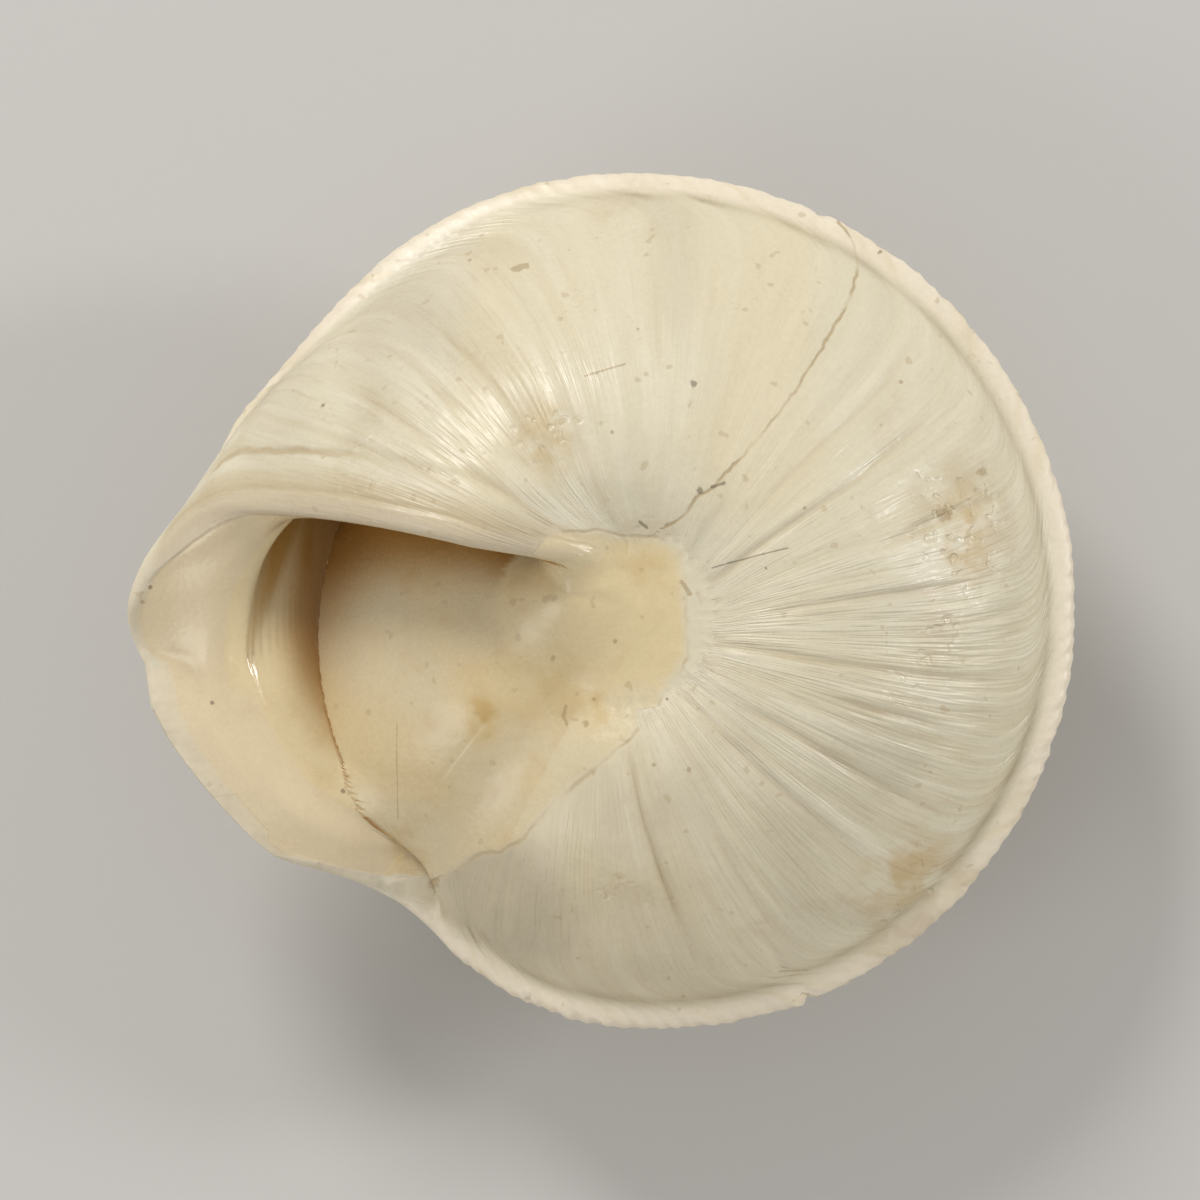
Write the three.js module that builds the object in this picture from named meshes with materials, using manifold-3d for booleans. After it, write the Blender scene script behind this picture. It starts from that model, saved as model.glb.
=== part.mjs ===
// A keeled land snail shell, about 20 mm wide, standing on its worn apex with its base and mouth up.
// Millimetres, +Z up. The shell coils about the Z axis, and the worn apex is the flat at Z = 0.
// Seen from above it grows anticlockwise from the apex, and its mouth opens to the left, at -X.
import * as THREE from "three";
import { mergeVertices } from "three/addons/utils/BufferGeometryUtils.js";
import Module from "manifold-3d";

// The coil. Angles are in degrees about Z from +X and run on past 360 from turn to turn.
const LIP_ANGLE = 178; // the angle at which the keel meets the lip
const TURNS = 4.6; // whorls from the worn apex to the lip
const KEEL_RADIUS = 9.95; // of the keel at the lip, before the lip turns out
const PITCH = 1.85; // growth of the keel's radius in one turn
const SPIRE_SLOPE = 0.7; // rise of the keel for each millimetre of radius
const APEX_RADIUS = 1.4; // the first whorls lie nearly flat inside this radius
const APEX_BLEND = 1.0;
const APEX_WEAR = 0.42; // depth worn off the apex, which leaves the resting flat
const DESCENT = 0.5; // extra drop of the last whorl towards the mouth
const DESCENT_ANGLE = 130; // over which it drops
const LAP_ANGLE = -128; // where the lip laps over the keel of the whorl before
const LAP_WIDTH = 16;
const LAP_DIP = 0.42; // how far the keel is drawn in there

// The wall.
const WALL = 0.6;
const RIBBON_BULGE = 0.14; // swelling of the spire side between two keels
const SEAM_IN = 0.58; // the wall is rooted this far inside the edge of the keel before
const SEAM_UP = 0.22;
const SEAM_ROOT = [-1, 0.85]; // from there to its inner face
const SEAM_FILL = 1.7; // the wall is this much thicker in the corner at the seam
const FULL_KEEL_RADIUS = 3; // nearer the apex the keel is smaller in proportion
const CORE_RADIUS = 0.2; // the early whorls are solid to a line at this distance from the axis
const AXIS_GAP = 0.35; // nothing of the coil comes nearer to the axis
const SMALLEST_RADIUS = 2; // near the axis, lengths along the coil are taken at this radius
const HOLLOW_ANGLE = 300; // degrees from the lip to the blind end of the hollow

// The keel's ridge, from its foot on the spire side to its foot on the base, from its edge.
const KEEL_RIDGE = [
  [-0.36, -0.21],
  [-0.09, -0.16],
  [0, -0.02],
  [-0.11, 0.12],
  [-0.36, 0.24],
];
const KEEL_CORNER = [
  [-0.56, -0.18],
  [-0.25, -0.03],
  [-0.13, 0.14],
  [-0.2, 0.32],
  [-0.48, 0.56],
]; // the same places inside, round the inner corner
const CORNER_IN = 1.3; // the inner corner lies this many wall thicknesses inside the keel's feet
const CORNER_FULL = 0.5; // and follows this share of the lip's thickening
const CORNER_UP = 0.18;
const CORNER_OPENS = [-0.55, 0.4]; // the inner face leaves the corner at least as steeply as this
const CORNER_REACH = 3;

// The base from the keel's foot to the axis, as shares of the foot's radius: distance from the axis, height.
const BASE_OUTLINE = [
  [0.94, 0.062],
  [0.87, 0.135],
  [0.78, 0.21],
  [0.665, 0.29],
  [0.535, 0.355],
  [0.405, 0.39],
  [0.285, 0.385],
  [0.185, 0.35],
  [0.105, 0.305],
];
// Places across the spire side, from the seam to the keel's foot.
const SPIRE_SHARES = [0, 0.33, 0.66, 0.88, 0.965];

// The lip.
const FLARE = 1.15; // how far the lip turns out at the keel
const FLARE_REACH = 1.75;
const PINCH = 0.45; // the waist behind the lip, which narrows the keel
const PINCH_BACK = 6.2;
const PINCH_REACH = 3.6;
const PINCH_WIDTH = 0.45;
const BASE_FLARE = 0.3; // share of the turn that reaches over the base
const KEEL_FLARE_WIDTH = 0.16;
const SPIRE_TURN = [0, 0.46, 0.67, 1, 1.14]; // share of the turn at each place on the spire side
const SPIRE_SLANT = 0.45; // distances square to the lip, which runs slantwise on the spire side
const SLANT_ENDS = 0.8; // share of the spire side beyond which it turns square again
const TURN_DROP = -0.25; // on the spire side it turns out nearly level, falling this much
// The thickened ring inside the lip: its height, and more at the keel and at the axis.
const BEAD = [0.42, 0.25, 0.2];
const BEAD_BACK = [0.3, 0.6, 0.95]; // its crest's distance from the edge: spire side, base, keel
const BEAD_REACH = 0.55;
const BEAD_WIDTH = 0.35; // share of the section, either side of the keel or the axis, over which it changes
const RIM_LENGTH = 0.5; // the lip's edge is rounded over this length
const SEAM_TAPER = 3; // towards the seam the lip thins out over this many times that length more
const RIM_EDGE = 0.2; // thickness left at the very edge

// The lean of the growth lines, and so of the lip, against the radius.
const SPIRE_LEAN = 54;
const SPIRE_LEAN_POWER = 0.8;
const KEEL_LEAN = [7, -3.5]; // at the keel's two feet
const BASE_LEAN = -40;
const BASE_LEAN_POWER = 0.62;

// Growth wrinkles, and the notches that they cut in the keel.
const WRINKLE = 0.045;
const WRINKLE_ANGLE = 19.5;
const NOTCH = 0.08;
const NOTCH_ANGLE = 13;

// The columella, as radius and height above the worn apex, up to where its top follows the turn of the base.
const COLUMELLA = [
  [0, -0.5],
  [1.35, -0.5],
  [1.3, 1.2],
  [1.05, 3],
  [1.0, 5],
];
const COLUMELLA_TOP = [
  [1.25, -0.9],
  [1.45, -0.35],
  [1.1, -0.12],
  [0.6, -0.1],
  [0, -0.1],
]; // radius, and height over the base round the axis
const PLUG_FROM = 145; // between these angles the top falls back to the whorl before, under the callus
const PLUG_TO = 232;
const AXIS_TOP = 8.2; // height of the base on the axis
// The callus over the navel, and where the lip ends on the columella: centre and half sizes.
const CALLUS = [
  [-0.15, -0.05, 7.5, 1.7, 1.6, 0.98],
  [-1.3, 0.2, 7.65, 1.6, 1.3, 1.15],
  [-1.05, -0.9, 6.95, 1.3, 1.15, 0.8],
];

// How finely the shell is divided.
const STEP_ANGLE = 6.5;
const SPIRE_STEP_ANGLE = 12;
const STRETCH_ANGLE = 150; // the solid whorls are joined from stretches of about this length
const LAP_SUNK = 0.08;
const LIP_STEPS = [0, 0.8, 2, 4, 7, 10.5, 15, 20]; // degrees behind the lip
const COLUMELLA_SIDES = 20;
const FINEST = 1e-3; // corners nearer than this are one corner

const bell = (x) => Math.exp(-x * x);
const clamp01 = (x) => Math.min(1, Math.max(0, x));
const smooth = (x) => clamp01(x) ** 2 * (3 - 2 * clamp01(x));
const radians = (degrees) => (degrees * Math.PI) / 180;

const keelRadius = (angle) =>
  KEEL_RADIUS - (PITCH * (LIP_ANGLE - angle)) / 360 - LAP_DIP * bell((angle - LAP_ANGLE) / LAP_WIDTH);

function keelHeight(angle) {
  const past = keelRadius(angle) - APEX_RADIUS;
  const ramp = (Math.sqrt(past * past + APEX_BLEND * APEX_BLEND) + past) / 2;
  const drop = DESCENT * smooth(1 - (LIP_ANGLE - angle) / DESCENT_ANGLE);
  return SPIRE_SLOPE * ramp + drop - APEX_WEAR;
}

const vector = ([x, y]) => new THREE.Vector2(x, y);

// The whorl's section in the half plane at an angle: its outer face from the seam over the keel to the axis.
function outerFace(angle) {
  const edge = new THREE.Vector2(keelRadius(angle), keelHeight(angle));
  const size = Math.min(1, edge.x / FULL_KEEL_RADIUS);
  const ridge = KEEL_RIDGE.map((offset) => edge.clone().addScaledVector(vector(offset), size));
  const before = keelRadius(angle - 360);
  const sizeBefore = clamp01(before / FULL_KEEL_RADIUS);
  const seamHeight = keelHeight(angle - 360) + SEAM_UP * sizeBefore;
  const seam = new THREE.Vector2(Math.max(before - SEAM_IN * sizeBefore, AXIS_GAP), seamHeight);
  const down = ridge[0].clone().sub(seam).rotateAround(new THREE.Vector2(), -Math.PI / 2).normalize();
  const bulge = (share) => RIBBON_BULGE * size * 4 * share * (1 - share);
  const onSpire = (share) => seam.clone().lerp(ridge[0], share).addScaledVector(down, bulge(share));
  const foot = ridge.at(-1);
  const onBase = ([x, y]) => new THREE.Vector2(Math.max(x * foot.x, AXIS_GAP), foot.y + y * foot.x);
  return [...SPIRE_SHARES.map(onSpire), ...ridge, ...BASE_OUTLINE.map(onBase)];
}

// The inner face for a wall of a given thickness, place by place.
function innerFace(outer, thick) {
  const spireCount = SPIRE_SHARES.length;
  const foot = outer[spireCount + KEEL_RIDGE.length - 1];
  const size = WALL + CORNER_FULL * (thick - WALL);
  const inwards = new THREE.Vector2(-CORNER_IN * size, CORNER_UP * size - KEEL_RIDGE.at(-1)[1]);
  const corner = foot.clone().add(inwards);
  return outer.map((point, index) => {
    if (index === 0) return point.clone().add(vector(SEAM_ROOT));
    if (index < spireCount) {
      const start = outer[0].clone().addScaledVector(outward(outer, 1), -SEAM_FILL * thick);
      return start.lerp(corner, SPIRE_SHARES[index]);
    }
    const roundCorner = KEEL_CORNER[Math.min(index - spireCount, KEEL_CORNER.length - 1)];
    const limit = corner.clone().add(vector(roundCorner));
    if (index < spireCount + KEEL_RIDGE.length) return limit;
    limit.addScaledVector(vector(CORNER_OPENS), Math.min(foot.x - point.x, CORNER_REACH));
    const inside = point.clone().addScaledVector(outward(outer, index), -thick);
    return new THREE.Vector2(Math.min(inside.x, limit.x), Math.max(inside.y, limit.y));
  });
}

// The direction square to the face at a place, out of the shell; over the keel it points straight out.
function outward(face, index) {
  const onKeel = index >= SPIRE_SHARES.length && index < SPIRE_SHARES.length + KEEL_RIDGE.length;
  if (onKeel) return new THREE.Vector2(1, 0.06).normalize();
  const along = face[Math.min(index + 1, face.length - 1)].clone().sub(face[Math.max(index - 1, 0)]);
  return new THREE.Vector2(along.y, -along.x).normalize();
}

// How far across the section a place lies: 0 at the seam, 1 on the keel, and back to 0 at the axis.
const ACROSS = [...SPIRE_SHARES, ...KEEL_RIDGE.map(() => 1), ...BASE_OUTLINE.map(([x]) => x)];
const ON_BASE = (index) => index >= SPIRE_SHARES.length + KEEL_RIDGE.length;

// How far the lip leads or trails the keel at a place, in degrees.
const LEANS = ACROSS.map((share, index) => {
  const onKeel = (index - SPIRE_SHARES.length) / (KEEL_RIDGE.length - 1);
  const { lerp } = THREE.MathUtils;
  if (onKeel < 0) return lerp(KEEL_LEAN[0], SPIRE_LEAN, (1 - share) ** SPIRE_LEAN_POWER);
  if (onKeel <= 1) return lerp(KEEL_LEAN[0], KEEL_LEAN[1], onKeel);
  return lerp(KEEL_LEAN[1], BASE_LEAN, (1 - share) ** BASE_LEAN_POWER);
});

// A point of the shell at a growth angle and a place on the section, on its outside and on its inside.
function wallPoints(growth, index, sunk) {
  const angle = growth + LEANS[index];
  const outer = outerFace(angle);
  const share = ACROSS[index];
  const onBase = ON_BASE(index);
  const square = onBase ? 1 : smooth((share - SLANT_ENDS) / (1 - SLANT_ENDS));
  const slant = THREE.MathUtils.lerp(SPIRE_SLANT, 1, square);
  const backAlongKeel = radians(LIP_ANGLE - growth) * Math.max(outer[index].x, SMALLEST_RADIUS);
  const behindLip = backAlongKeel * slant;

  // The lip turns out most at the keel, less over the base, and not at all at the seam and the axis.
  const turn = onBase
    ? BASE_FLARE * share + (1 - BASE_FLARE) * bell((1 - share) / KEEL_FLARE_WIDTH)
    : (SPIRE_TURN[index] ?? 1);
  const flare = turn * FLARE * Math.exp(-behindLip / FLARE_REACH);
  const waist = PINCH * bell((backAlongKeel - PINCH_BACK) / PINCH_REACH) * bell((1 - share) / PINCH_WIDTH);
  const atKeel = bell((1 - share) / BEAD_WIDTH);
  const beadBack = THREE.MathUtils.lerp(BEAD_BACK[onBase ? 1 : 0], BEAD_BACK[2], atKeel);
  const beadEnds = onBase ? BEAD[2] * bell(share / BEAD_WIDTH) : -BEAD[0] * smooth(1 - share / BEAD_WIDTH);
  const bead = BEAD[0] + BEAD[1] * atKeel + beadEnds;

  const fade = smooth((keelRadius(angle) - APEX_RADIUS) / FULL_KEEL_RADIUS);
  const onRidge = index > SPIRE_SHARES.length && index < SPIRE_SHARES.length + KEEL_RIDGE.length - 1;
  const relief = onRidge
    ? NOTCH * Math.cos(radians((growth * 360) / NOTCH_ANGLE))
    : WRINKLE * Math.sin(Math.PI * share) * Math.cos(radians((growth * 360) / WRINKLE_ANGLE));

  const rimLength = RIM_LENGTH * (onBase ? 1 : 1 + SEAM_TAPER * (1 - share) ** 2);
  const round = Math.sqrt(1 - (1 - clamp01(behindLip / rimLength)) ** 2);
  const full = WALL + bead * bell((behindLip - beadBack) / BEAD_REACH);
  const thick = RIM_EDGE + (full - RIM_EDGE) * round;
  const out = outward(outer, index);
  const turned = index < SPIRE_SHARES.length ? new THREE.Vector2(1, TURN_DROP) : out;
  const rounded = ((thick - full) / 2) * (index > 0 ? 1 : 0);
  const outside = outer[index].clone().addScaledVector(turned, flare);
  outside.addScaledVector(out, rounded - sunk + relief * fade * round);
  const inside = innerFace(outer, thick)[index].addScaledVector(turned, flare).addScaledVector(out, rounded);
  outside.x = Math.max(outside.x - waist, AXIS_GAP);
  inside.x = Math.max(inside.x - waist, AXIS_GAP);
  return [outside, inside].map((p) => spun(p, angle));
}

function spun(p, angle) {
  return new THREE.Vector3(p.x * Math.cos(radians(angle)), p.x * Math.sin(radians(angle)), p.y);
}

// A line near the axis, buried in the whorl before, to which the early whorls are filled.
function corePoint(growth) {
  const height = keelHeight(growth - 360) + 0.2 * Math.max(0, keelRadius(growth - 360));
  return spun(new THREE.Vector2(CORE_RADIUS, height), growth);
}

// One closed stretch of the coil between growth angles, either solid to the axis or only its wall.
// Stretches lap over each other: the outermost row of each is sunk into its neighbour.
function stretch(growths, filled) {
  const across = ACROSS.length;
  const corners = [];
  for (const growth of growths) {
    const sunk = growth === growths[0] || (growth === growths.at(-1) && growth !== LIP_ANGLE);
    const pairs = ACROSS.map((_, index) => wallPoints(growth, index, sunk ? LAP_SUNK : 0));
    corners.push(...pairs.map((pair) => pair[0]));
    corners.push(...(filled ? [corePoint(growth)] : pairs.map((pair) => pair[1]).reverse()));
  }
  const ring = filled ? across + 1 : 2 * across;
  const faces = [];
  for (let row = 0; row + 1 < growths.length; row++)
    for (let k = 0; k < ring; k++) {
      const here = row * ring;
      const next = (k + 1) % ring;
      faces.push(here + k, here + ring + next, here + next);
      faces.push(here + k, here + ring + k, here + ring + next);
    }
  const end = (growths.length - 1) * ring;
  for (let k = 0; k + 1 < across; k++) {
    const inner = filled ? across : ring - 1 - k;
    const innerNext = filled ? across : ring - 2 - k;
    faces.push(k, k + 1, innerNext);
    faces.push(end + k, end + innerNext, end + k + 1);
    if (filled) continue;
    faces.push(k, innerNext, inner);
    faces.push(end + k, end + inner, end + innerNext);
  }
  return manifoldOf(new THREE.BufferGeometry().setFromPoints(corners).setIndex(faces));
}

const wasm = await Module();
wasm.setup();

function manifoldOf(geometry, tolerance = 1e-5) {
  for (const name of ["normal", "uv"]) geometry.deleteAttribute(name);
  const merged = mergeVertices(geometry, tolerance);
  return new wasm.Manifold(
    new wasm.Mesh({
      numProp: 3,
      vertProperties: merged.attributes.position.array,
      triVerts: new Uint32Array(merged.index.array),
    }),
  );
}

// Growth angles between two, in steps.
function anglesBetween(from, to, step) {
  const count = Math.max(1, Math.round((to - from) / step));
  return Array.from({ length: count }, (_, k) => from + ((to - from) * k) / count);
}

// The early whorls are solid and joined from stretches of under half a turn. The last one is a wall.
function coil() {
  const blindEnd = LIP_ANGLE - HOLLOW_ANGLE;
  const solidEnd = blindEnd + STEP_ANGLE - 1;
  const rows = [
    ...anglesBetween(LIP_ANGLE - 360 * TURNS, blindEnd, SPIRE_STEP_ANGLE),
    ...anglesBetween(blindEnd, LIP_ANGLE - LIP_STEPS.at(-1), STEP_ANGLE),
    ...LIP_STEPS.map((back) => LIP_ANGLE - back).reverse(),
  ];
  const solid = [];
  for (let from = 0; rows[from] < solidEnd; ) {
    let to = from + 2;
    while (rows[to] - rows[from] < STRETCH_ANGLE && rows[to] < solidEnd) to++;
    solid.push(stretch(rows.slice(from, to + 1), true));
    if (rows[to] >= solidEnd) break;
    from = to - 1;
  }
  const wall = stretch(rows.slice(rows.indexOf(blindEnd)), false);
  return solid.reduce((whole, next) => whole.add(next), wall);
}

// Height of the base round the axis; past the lip it falls back to that of the whorl before.
function baseByAxis(angle) {
  const height = (a) => keelHeight(a) + BASE_OUTLINE.at(-1)[1] * keelRadius(a);
  const a = THREE.MathUtils.euclideanModulo(angle - PLUG_TO, 360) + PLUG_TO - 360;
  if (a < PLUG_FROM) return height(a);
  const fallen = smooth((a - PLUG_FROM) / (PLUG_TO - PLUG_FROM));
  return THREE.MathUtils.lerp(height(PLUG_FROM), height(PLUG_TO - 360), fallen);
}

function columella() {
  const rings = [...COLUMELLA, ...COLUMELLA_TOP];
  const corners = [];
  const faces = [];
  for (const [index, [radius, height]] of rings.entries())
    for (let side = 0; side < COLUMELLA_SIDES; side++) {
      const angle = (360 * side) / COLUMELLA_SIDES;
      const top = index < COLUMELLA.length ? 0 : radius > 0 ? baseByAxis(angle) : AXIS_TOP;
      corners.push(spun(new THREE.Vector2(radius, top + height), angle));
      const a = index * COLUMELLA_SIDES + side;
      const b = index * COLUMELLA_SIDES + ((side + 1) % COLUMELLA_SIDES);
      if (index + 1 === rings.length) continue;
      if (index > 0) faces.push(a, b, b + COLUMELLA_SIDES);
      if (index + 2 < rings.length || index === 0) faces.push(a, b + COLUMELLA_SIDES, a + COLUMELLA_SIDES);
    }
  return manifoldOf(new THREE.BufferGeometry().setFromPoints(corners).setIndex(faces));
}

function callus() {
  const swellings = CALLUS.map(([x, y, z, a, b, c]) =>
    manifoldOf(new THREE.SphereGeometry(1, 16, 10).rotateX(Math.PI / 2).scale(a, b, c).translate(x, y, z)),
  );
  return swellings.reduce((whole, next) => whole.add(next));
}

function wornAway() {
  const size = 3 * KEEL_RADIUS;
  return manifoldOf(new THREE.BoxGeometry(size, size, size).translate(0, 0, -size / 2));
}

function geometryOf(solid) {
  const mesh = solid.getMesh();
  const geometry = new THREE.BufferGeometry();
  geometry.setAttribute("position", new THREE.BufferAttribute(mesh.vertProperties, 3));
  geometry.setIndex(new THREE.BufferAttribute(mesh.triVerts, 1));
  return geometry;
}

const shellMaterial = new THREE.MeshStandardMaterial({ color: 0xdcd3bd, roughness: 0.45, metalness: 0 });
const whole = coil().add(columella()).add(callus()).subtract(wornAway());
// Where two whorls meet at a grazing angle, crumbs and bubbles are left, which are no part of the shell.
const larger = (one, other) => (other.volume() > one.volume() ? other : one);
const largest = (solid) => solid.decompose().reduce(larger);
const body = largest(manifoldOf(geometryOf(largest(whole)), FINEST));
const shell = new THREE.Mesh(geometryOf(body), shellMaterial);
shell.name = "shell";

const group = new THREE.Group();
group.add(shell);
export default group;
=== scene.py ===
import math

import bpy
import numpy as np
from mathutils import Matrix, Vector
from mathutils.bvhtree import BVHTree


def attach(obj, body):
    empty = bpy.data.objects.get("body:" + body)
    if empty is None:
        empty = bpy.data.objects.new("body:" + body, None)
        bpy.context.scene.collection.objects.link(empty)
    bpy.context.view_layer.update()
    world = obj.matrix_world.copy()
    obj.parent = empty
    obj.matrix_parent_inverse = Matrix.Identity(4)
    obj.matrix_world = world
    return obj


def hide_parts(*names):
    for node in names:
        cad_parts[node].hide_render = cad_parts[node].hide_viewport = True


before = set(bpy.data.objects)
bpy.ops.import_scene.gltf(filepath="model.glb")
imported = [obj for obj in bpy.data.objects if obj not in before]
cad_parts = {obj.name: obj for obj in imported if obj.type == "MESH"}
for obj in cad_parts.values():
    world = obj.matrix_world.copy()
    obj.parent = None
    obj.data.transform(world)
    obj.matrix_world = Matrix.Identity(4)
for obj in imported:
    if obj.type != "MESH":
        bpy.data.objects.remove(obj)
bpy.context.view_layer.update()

MM = 0.001

# The coil, in millimetres and degrees. Angles run anticlockwise about the axis, and on past 360 from turn
# to turn.
LIP_ANGLE = 178.0
TURNS = 4.6
KEEL_RADIUS = 9.95
PITCH = 1.85
SPIRE_SLOPE = 0.7
APEX_RADIUS = 1.4
APEX_BLEND = 1.0
APEX_WEAR = 0.42
DESCENT = 0.5
DESCENT_ANGLE = 130.0
LAP_ANGLE = -128.0
LAP_WIDTH = 16.0
LAP_DIP = 0.42
HOLLOW_ANGLE = 300.0

WALL = 0.6
RIBBON_BULGE = 0.14
SEAM_IN = 0.58
SEAM_UP = 0.22
SEAM_ROOT = (-1.0, 0.85)
SEAM_FILL = 1.7
FULL_KEEL_RADIUS = 3.0
CORE_RADIUS = 0.2
AXIS_GAP = 0.35
KEEL_RIDGE = [
    (-0.36, -0.21), (-0.2, -0.2), (-0.07, -0.14), (0.0, -0.02), (-0.06, 0.09), (-0.19, 0.16), (-0.36, 0.24),
]
KEEL_CORNER = [
    (-0.56, -0.18), (-0.36, -0.09), (-0.2, 0.01), (-0.13, 0.14), (-0.16, 0.27), (-0.29, 0.41), (-0.48, 0.56),
]
CORNER_IN = 1.3
CORNER_FULL = 0.5
CORNER_UP = 0.18
CORNER_OPENS = (-0.55, 0.4)
CORNER_REACH = 3.0
BASE_OUTLINE = [
    (1.0, 0.0), (0.94, 0.062), (0.87, 0.135), (0.78, 0.21), (0.665, 0.29), (0.535, 0.355), (0.405, 0.39),
    (0.285, 0.385), (0.185, 0.35), (0.105, 0.305),
]

FLARE = 1.15
FLARE_REACH = 1.75
SPIRE_FLARE_REACH = 2.3
PINCH = 0.45
PINCH_WIDTH = 0.45
PINCH_BACK = 6.2
PINCH_REACH = 3.6
BASE_FLARE = 0.3
KEEL_FLARE_WIDTH = 0.16
# Share of the lip's turn at places over the spire side.
SPIRE_TURN = [
    (0, 0), (0.2, 0.26), (0.33, 0.46), (0.5, 0.6), (0.66, 0.67), (0.8, 0.82),
    (0.9, 1.03), (0.965, 1.14), (1, 1.1),
]
SPIRE_SLANT = 0.45
TURN_DROP = -0.25
TURN_RISE = 0.1
BEAD = (0.42, 0.25, 0.2)
BEAD_BACK = (0.18, 0.6, 0.6)
BEAD_REACH = 0.55
SPIRE_BEAD_REACH = 0.2
SPIRE_BEAD_SHARE = 0.5
BEAD_WIDTH = 0.35
RIM_LENGTH = 0.5
SEAM_TAPER = 3.0
RIM_EDGE = 0.05
LIP_FORWARD = 0.58
LIP_FORWARD_REACH = 5.0
# Creases and low swells outside the lip on the base: distance behind the edge, half width, height.
COLLAR = [
    (0.47, 0.06, -0.045), (0.9, 0.26, 0.05), (1.3, 0.07, -0.07), (1.62, 0.14, 0.035), (1.95, 0.07, -0.03),
]

SPIRE_LEAN = 54.0
SPIRE_LEAN_POWER = 0.8
KEEL_LEAN = (7.0, -3.5)
# Lean of the lip over the base: share of the keel's radius, degrees.
BASE_LEAN = [
    (1.0, -3.5), (0.985, -8.0), (0.96, -12.2), (0.92, -14.7), (0.85, -16.3), (0.75, -18.0), (0.58, -20.5),
    (0.45, -23.0), (0.32, -27.0), (0.24, -31.5), (0.17, -38.0), (0.105, -46.0),
]

# The columella's side and its rounded top, as radius and height.
COLUMELLA = [(1.3, 0.0), (1.3, 1.2), (1.05, 3.0), (1.0, 5.0)]
COLUMELLA_TOP = [(1.25, -0.9), (1.42, -0.45), (1.25, -0.22), (0.95, -0.14), (0.6, -0.1), (0.3, -0.1)]
# Centre and half sizes of the swellings of callus over the navel and where the lip ends on the columella.
CALLUS = [
    (-0.15, -0.05, 7.5, 1.7, 1.6, 0.98),
    (-1.3, 0.2, 7.65, 1.6, 1.3, 1.15),
    (-1.05, -0.9, 6.95, 1.3, 1.15, 0.8),
]
PLUG_FROM = 145.0
PLUG_TO = 232.0
AXIS_TOP = 8.2

# How finely it is divided.
SPIRE_COLUMNS = 16
RIDGE_COLUMNS = 11
BASE_COLUMNS = 50
INNER_COLUMNS = (14, 8, 22)
ROW_STEP = 0.66
LIP_ROW_STEP = 0.4
LIP_ROWS_UNTIL = 14.0
EARLY_STEP = 1.6
EARLIEST_STEP = 2.6
STRETCH = 150.0
# Rows behind the lip's edge, in degrees.
LIP_ROWS = [0, 0.06, 0.15, 0.3, 0.5, 0.75, 1.05, 1.4, 1.8, 2.3, 2.9]
# How far the end rows of a stretch are sunk below its face.
LAP_SUNK = 0.012
RING_SIDES = 72
SWELLING_RINGS = 24
SWELLING_SIDES = 48


def bell(x):
    return np.exp(-x * x)


def clamp01(x):
    return np.clip(x, 0.0, 1.0)


def smooth(x):
    x = clamp01(x)
    return x * x * (3 - 2 * x)


def curve_table(points, count=400):
    """A smooth curve through the points, as (parameter, x, y) arrays; the parameter runs from 0 to 1."""
    pts = np.array(points, float)
    n = len(pts)
    padded = np.vstack([2 * pts[0] - pts[1], pts, 2 * pts[-1] - pts[-2]])
    t = np.linspace(0, n - 1, count)
    i = np.minimum(t.astype(int), n - 2)
    f = (t - i)[:, None]
    p0, p1, p2, p3 = (padded[i + k] for k in range(4))
    square, cube = 2 * p0 - 5 * p1 + 4 * p2 - p3, 3 * p1 - p0 - 3 * p2 + p3
    out = 0.5 * ((2 * p1) + (p2 - p0) * f + square * f**2 + cube * f**3)
    return t / (n - 1), out[:, 0], out[:, 1]


RIDGE_CURVE = curve_table(KEEL_RIDGE)
CORNER_CURVE = curve_table(KEEL_CORNER)
BASE_CURVE = curve_table(BASE_OUTLINE)
LEAN_X, LEAN_A = (np.array(v)[::-1] for v in curve_table(BASE_LEAN)[1:])


def along(curve, t):
    return np.interp(t, curve[0], curve[1]), np.interp(t, curve[0], curve[2])


def hashed(i, j, seed):
    n = (i.astype(np.int64) * 73856093) ^ (j.astype(np.int64) * 19349663) ^ (seed * 83492791)
    n = (n ^ (n >> 13)) * 1274126177
    n = (n ^ (n >> 16)) & 0xFFFFFF
    return n / float(0xFFFFFF) * 2 - 1


def noise(x, y=0.0, seed=0):
    """Smooth noise between -1 and 1, one bump to each whole number."""
    x, y = np.broadcast_arrays(np.asarray(x, float), np.asarray(y, float))
    i, j = np.floor(x), np.floor(y)
    u, v = x - i, y - j
    u, v = u * u * (3 - 2 * u), v * v * (3 - 2 * v)
    i, j = i.astype(np.int64), j.astype(np.int64)
    a, b = hashed(i, j, seed), hashed(i + 1, j, seed)
    c, d = hashed(i, j + 1, seed), hashed(i + 1, j + 1, seed)
    return (a + (b - a) * u) * (1 - v) + (c + (d - c) * u) * v


def keel_radius(a):
    return KEEL_RADIUS - PITCH * (LIP_ANGLE - a) / 360 - LAP_DIP * bell((a - LAP_ANGLE) / LAP_WIDTH)


def keel_height(a):
    past = keel_radius(a) - APEX_RADIUS
    ramp = (np.sqrt(past * past + APEX_BLEND**2) + past) / 2
    return SPIRE_SLOPE * ramp + DESCENT * smooth(1 - (LIP_ANGLE - a) / DESCENT_ANGLE) - APEX_WEAR


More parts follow.
